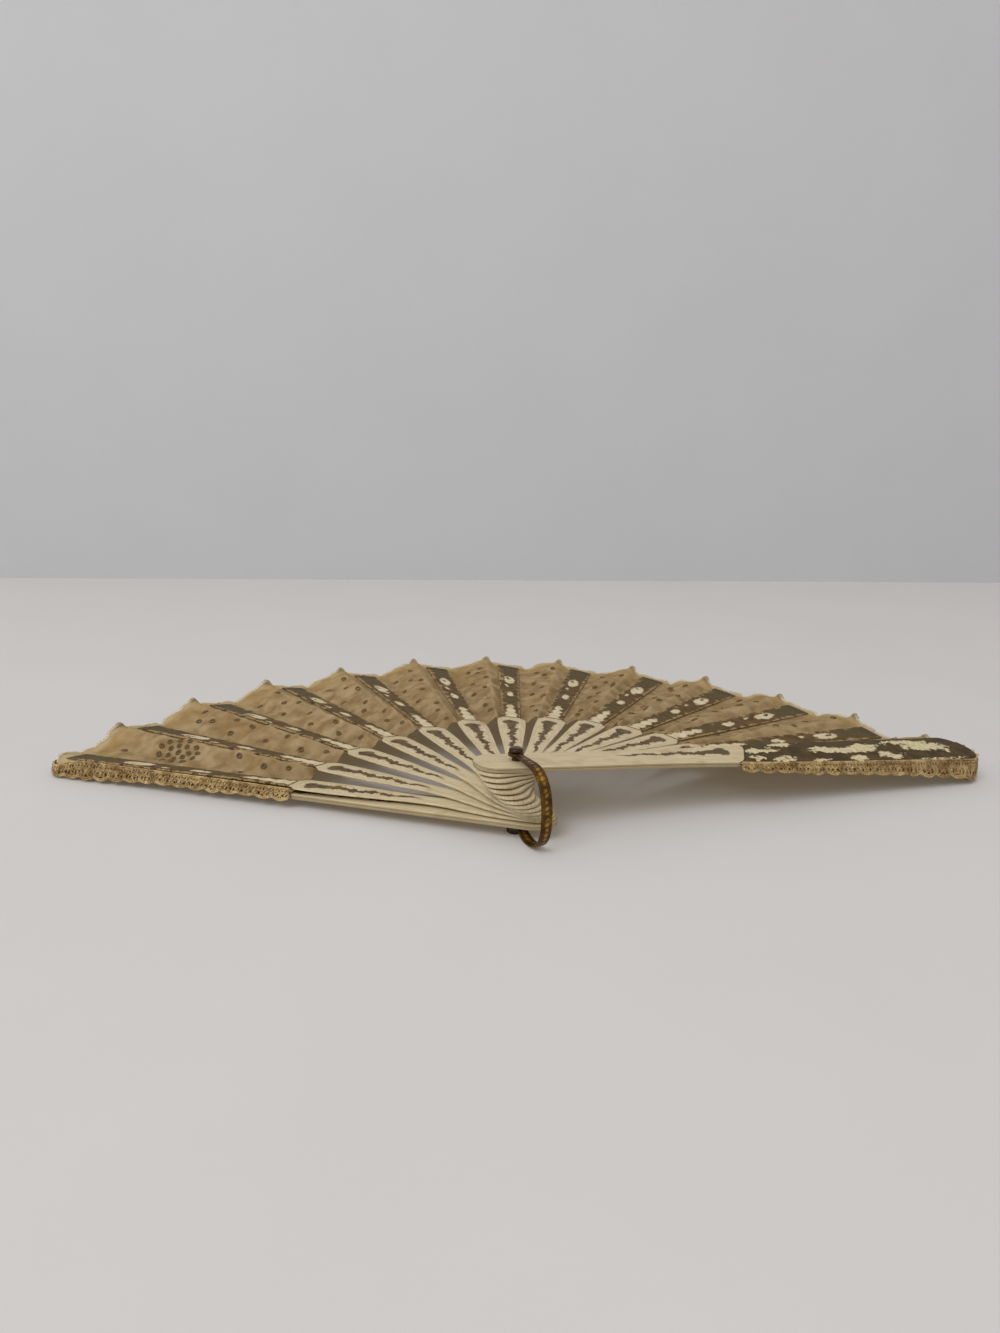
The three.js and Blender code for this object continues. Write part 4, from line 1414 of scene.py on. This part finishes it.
def make_loop(brass):
    """A strip with a row of beads between slanting ridges, carried along its line, and two eyes."""
    line, run = loop_line(340)
    ahead = unit(np.gradient(line, axis=0))
    t = np.linspace(-1, 1, 17)
    neck = lerp(0.72, 1, smooth(run, 0, 12) * smooth(run[-1] - run, 0, 8))
    half = (LOOP_WIDTH / 2 * 0.92 * neck)[:, None]
    beads = np.abs(np.sin(np.pi * (run[:, None] / BEAD_STEP + 0.25 * t)))
    beads = np.sqrt(beads) * np.exp(-(t / 0.42) ** 4)
    slants = 0.5 * np.abs(np.sin(np.pi * (run[:, None] / (BEAD_STEP / 2) - 0.9 * np.abs(t))))
    slants = slants * np.exp(-((np.abs(t) - 0.68) / 0.16) ** 4)
    ridge = np.maximum(beads, slants)
    level = 0.3 + 0.1 * (1 - t * t) + 0.2 * ridge
    y = np.concatenate([half * t, half * t[::-1]], axis=1)
    shift = np.concatenate([-level, level[:, ::-1]], axis=1)
    strip = stacked(line[:, :1] + ahead[:, 1:] * shift, y, line[:, 1:] - ahead[:, :1] * shift)
    faces = tube_faces(len(run), strip.shape[1])
    points = strip.reshape(-1, 3)
    ridges = np.concatenate([ridge, ridge[:, ::-1]], axis=1).ravel()
    for height in (UPPER_EYE, LOWER_EYE):
        low, high = height - LOOP_THICKNESS / 2, height + LOOP_THICKNESS / 2
        ring = rounded_corner(EYE_RADIUS - EYE_ROUND, low + EYE_ROUND, EYE_ROUND, -90)
        ring += rounded_corner(EYE_RADIUS - EYE_ROUND, high - EYE_ROUND, EYE_ROUND, 0)
        ring += [(HOLE_RADIUS + 0.1, high), (HOLE_RADIUS, high - 0.1)]
        ring += [(HOLE_RADIUS, low + 0.1), (HOLE_RADIUS + 0.1, low), ring[0]]
        eye, eye_faces = lathe(ring, 56)
        faces += [[corner + len(points) for corner in face] for face in eye_faces[:-2]]
        points = np.concatenate([points, eye])
        ridges = np.append(ridges, np.full(len(eye), 0.3))
    swing = np.array(Matrix.Rotation(math.radians(LOOP_AZIMUTH), 3, "Z"))
    mesh = make_mesh("loop_strip", points @ swing.T, faces, None, {"ridge": ridges}, weld=True)
    fix(place_piece("loop_strip", mesh, brass), "loop", "loop")


# The table, the light and the camera

def make_stage():
    """A pale table, flat to its far edge, and a paler wall behind it."""
    left, right = -TABLE_HALF, TABLE_HALF
    near, far, top = (TABLE_NEAR, 0), (TABLE_FAR, 0), (TABLE_FAR, WALL_HEIGHT)
    for name, code, glow, low, high in (
        ("table", "C2C3C7", "4C4232", near, far), ("wall", "C2C2C4", "000000", far, top),
    ):
        corners = [(left, *low), (right, *low), (right, *high), (left, *high)]
        mesh = make_mesh(name, corners, [[0, 1, 2, 3]], close=False)
        sheet = bpy.data.objects.new(name, mesh)
        mesh.materials.append(plain_finish(name, code, glow))
        bpy.context.collection.objects.link(sheet)


def make_light():
    """Soft warm light from all round, and one broad lamp in front, above and to the left."""
    world = bpy.data.worlds.new("soft_room")
    bpy.context.scene.world = world
    world.use_nodes = True
    sky = world.node_tree.nodes["Background"]
    sky.inputs["Color"].default_value = (1, 0.97, 0.93, 1)
    sky.inputs["Strength"].default_value = 0.7
    lamp = bpy.data.lights.new("broad_lamp", "AREA")
    lamp.shape = "SQUARE"
    lamp.size = 1.3
    lamp.energy = 27
    holder = bpy.data.objects.new("broad_lamp", lamp)
    holder.location = LAMP_PLACE
    aim = Vector(LAMP_TARGET) - Vector(LAMP_PLACE)
    holder.rotation_euler = aim.to_track_quat("-Z", "Y").to_euler()
    bpy.context.collection.objects.link(holder)


def make_camera():
    """The photograph's view: from in front, a little above, tipped down at the fan."""
    camera = bpy.data.cameras.new("camera")
    camera.sensor_width = 36
    camera.lens = CAMERA_LENS
    camera.clip_start = 0.01
    camera.clip_end = 20
    holder = bpy.data.objects.new("camera", camera)
    tip = Matrix.Rotation(math.radians(90 - CAMERA_TIP), 4, "X")
    roll = Matrix.Rotation(math.radians(CAMERA_ROLL), 4, "Z")
    holder.matrix_world = Matrix.Translation(CAMERA_PLACE) @ tip @ roll
    bpy.context.collection.objects.link(holder)
    bpy.context.scene.camera = holder


make_camera()
make_stage()
make_light()
bpy.context.scene.view_settings.view_transform = "Standard"

left_guard = guard_blade(
    "left_guard", FIRST_AZIMUTH - GUARD_TUCK, LEFT_GUARD_SLOPE, LEFT_GUARD_HEIGHT, 0,
)
right_guard = guard_blade(
    "right_guard", FIRST_AZIMUTH - OPEN_STEP * STICK_COUNT,
    stick_slope(STICK_COUNT) - RIGHT_GUARD_LIFT, RIGHT_GUARD_HEIGHT, RIGHT_GUARD_ROLL,
)
sticks = [stick_blade(number) for number in range(1, STICK_COUNT + 1)]

stick_mesh = drilled("stick", stick_shape())
bronze_rib = stick_finish()
for stick in sticks:
    make_blade(stick, stick_mesh, bronze_rib)
bronze_guard = guard_finish()
make_blade(left_guard, drilled("left_guard", guard_shape(0)), bronze_guard)
make_blade(right_guard, drilled("right_guard", guard_shape(RIGHT_GUARD_ROLL)), bronze_guard)

edging_thread = thread_finish("cream_thread", "BFAD86", "DACDAE", "EAE2CC", 0.0, 0.75)
make_leaf([left_guard, *sticks, right_guard], cloth_finish(), edging_thread)

gold_thread = thread_finish("gold_thread", "8C6A36", "C8AB75", "EAD8B0", 0.05, 0.65)
# The net is the lace's ground; its dark colour is painted shade between the threads.
lace_net_shaded = thread_finish("lace_net_painted_shade", "54401E", "735A2E", "927645", 0.05, 0.75)
make_lace("left_guard_lace", left_lace(left_guard, sticks[0]), 51, lace_net_shaded, gold_thread)
make_lace("right_guard_lace", right_lace(right_guard), 52, lace_net_shaded, gold_thread)

make_rivet(brass_finish("dark_brass", "2A1E14", "44301E", "7A6248", 0.6))
make_loop(brass_finish("worn_brass", "402A0D", "64440F", "BC8E40"))
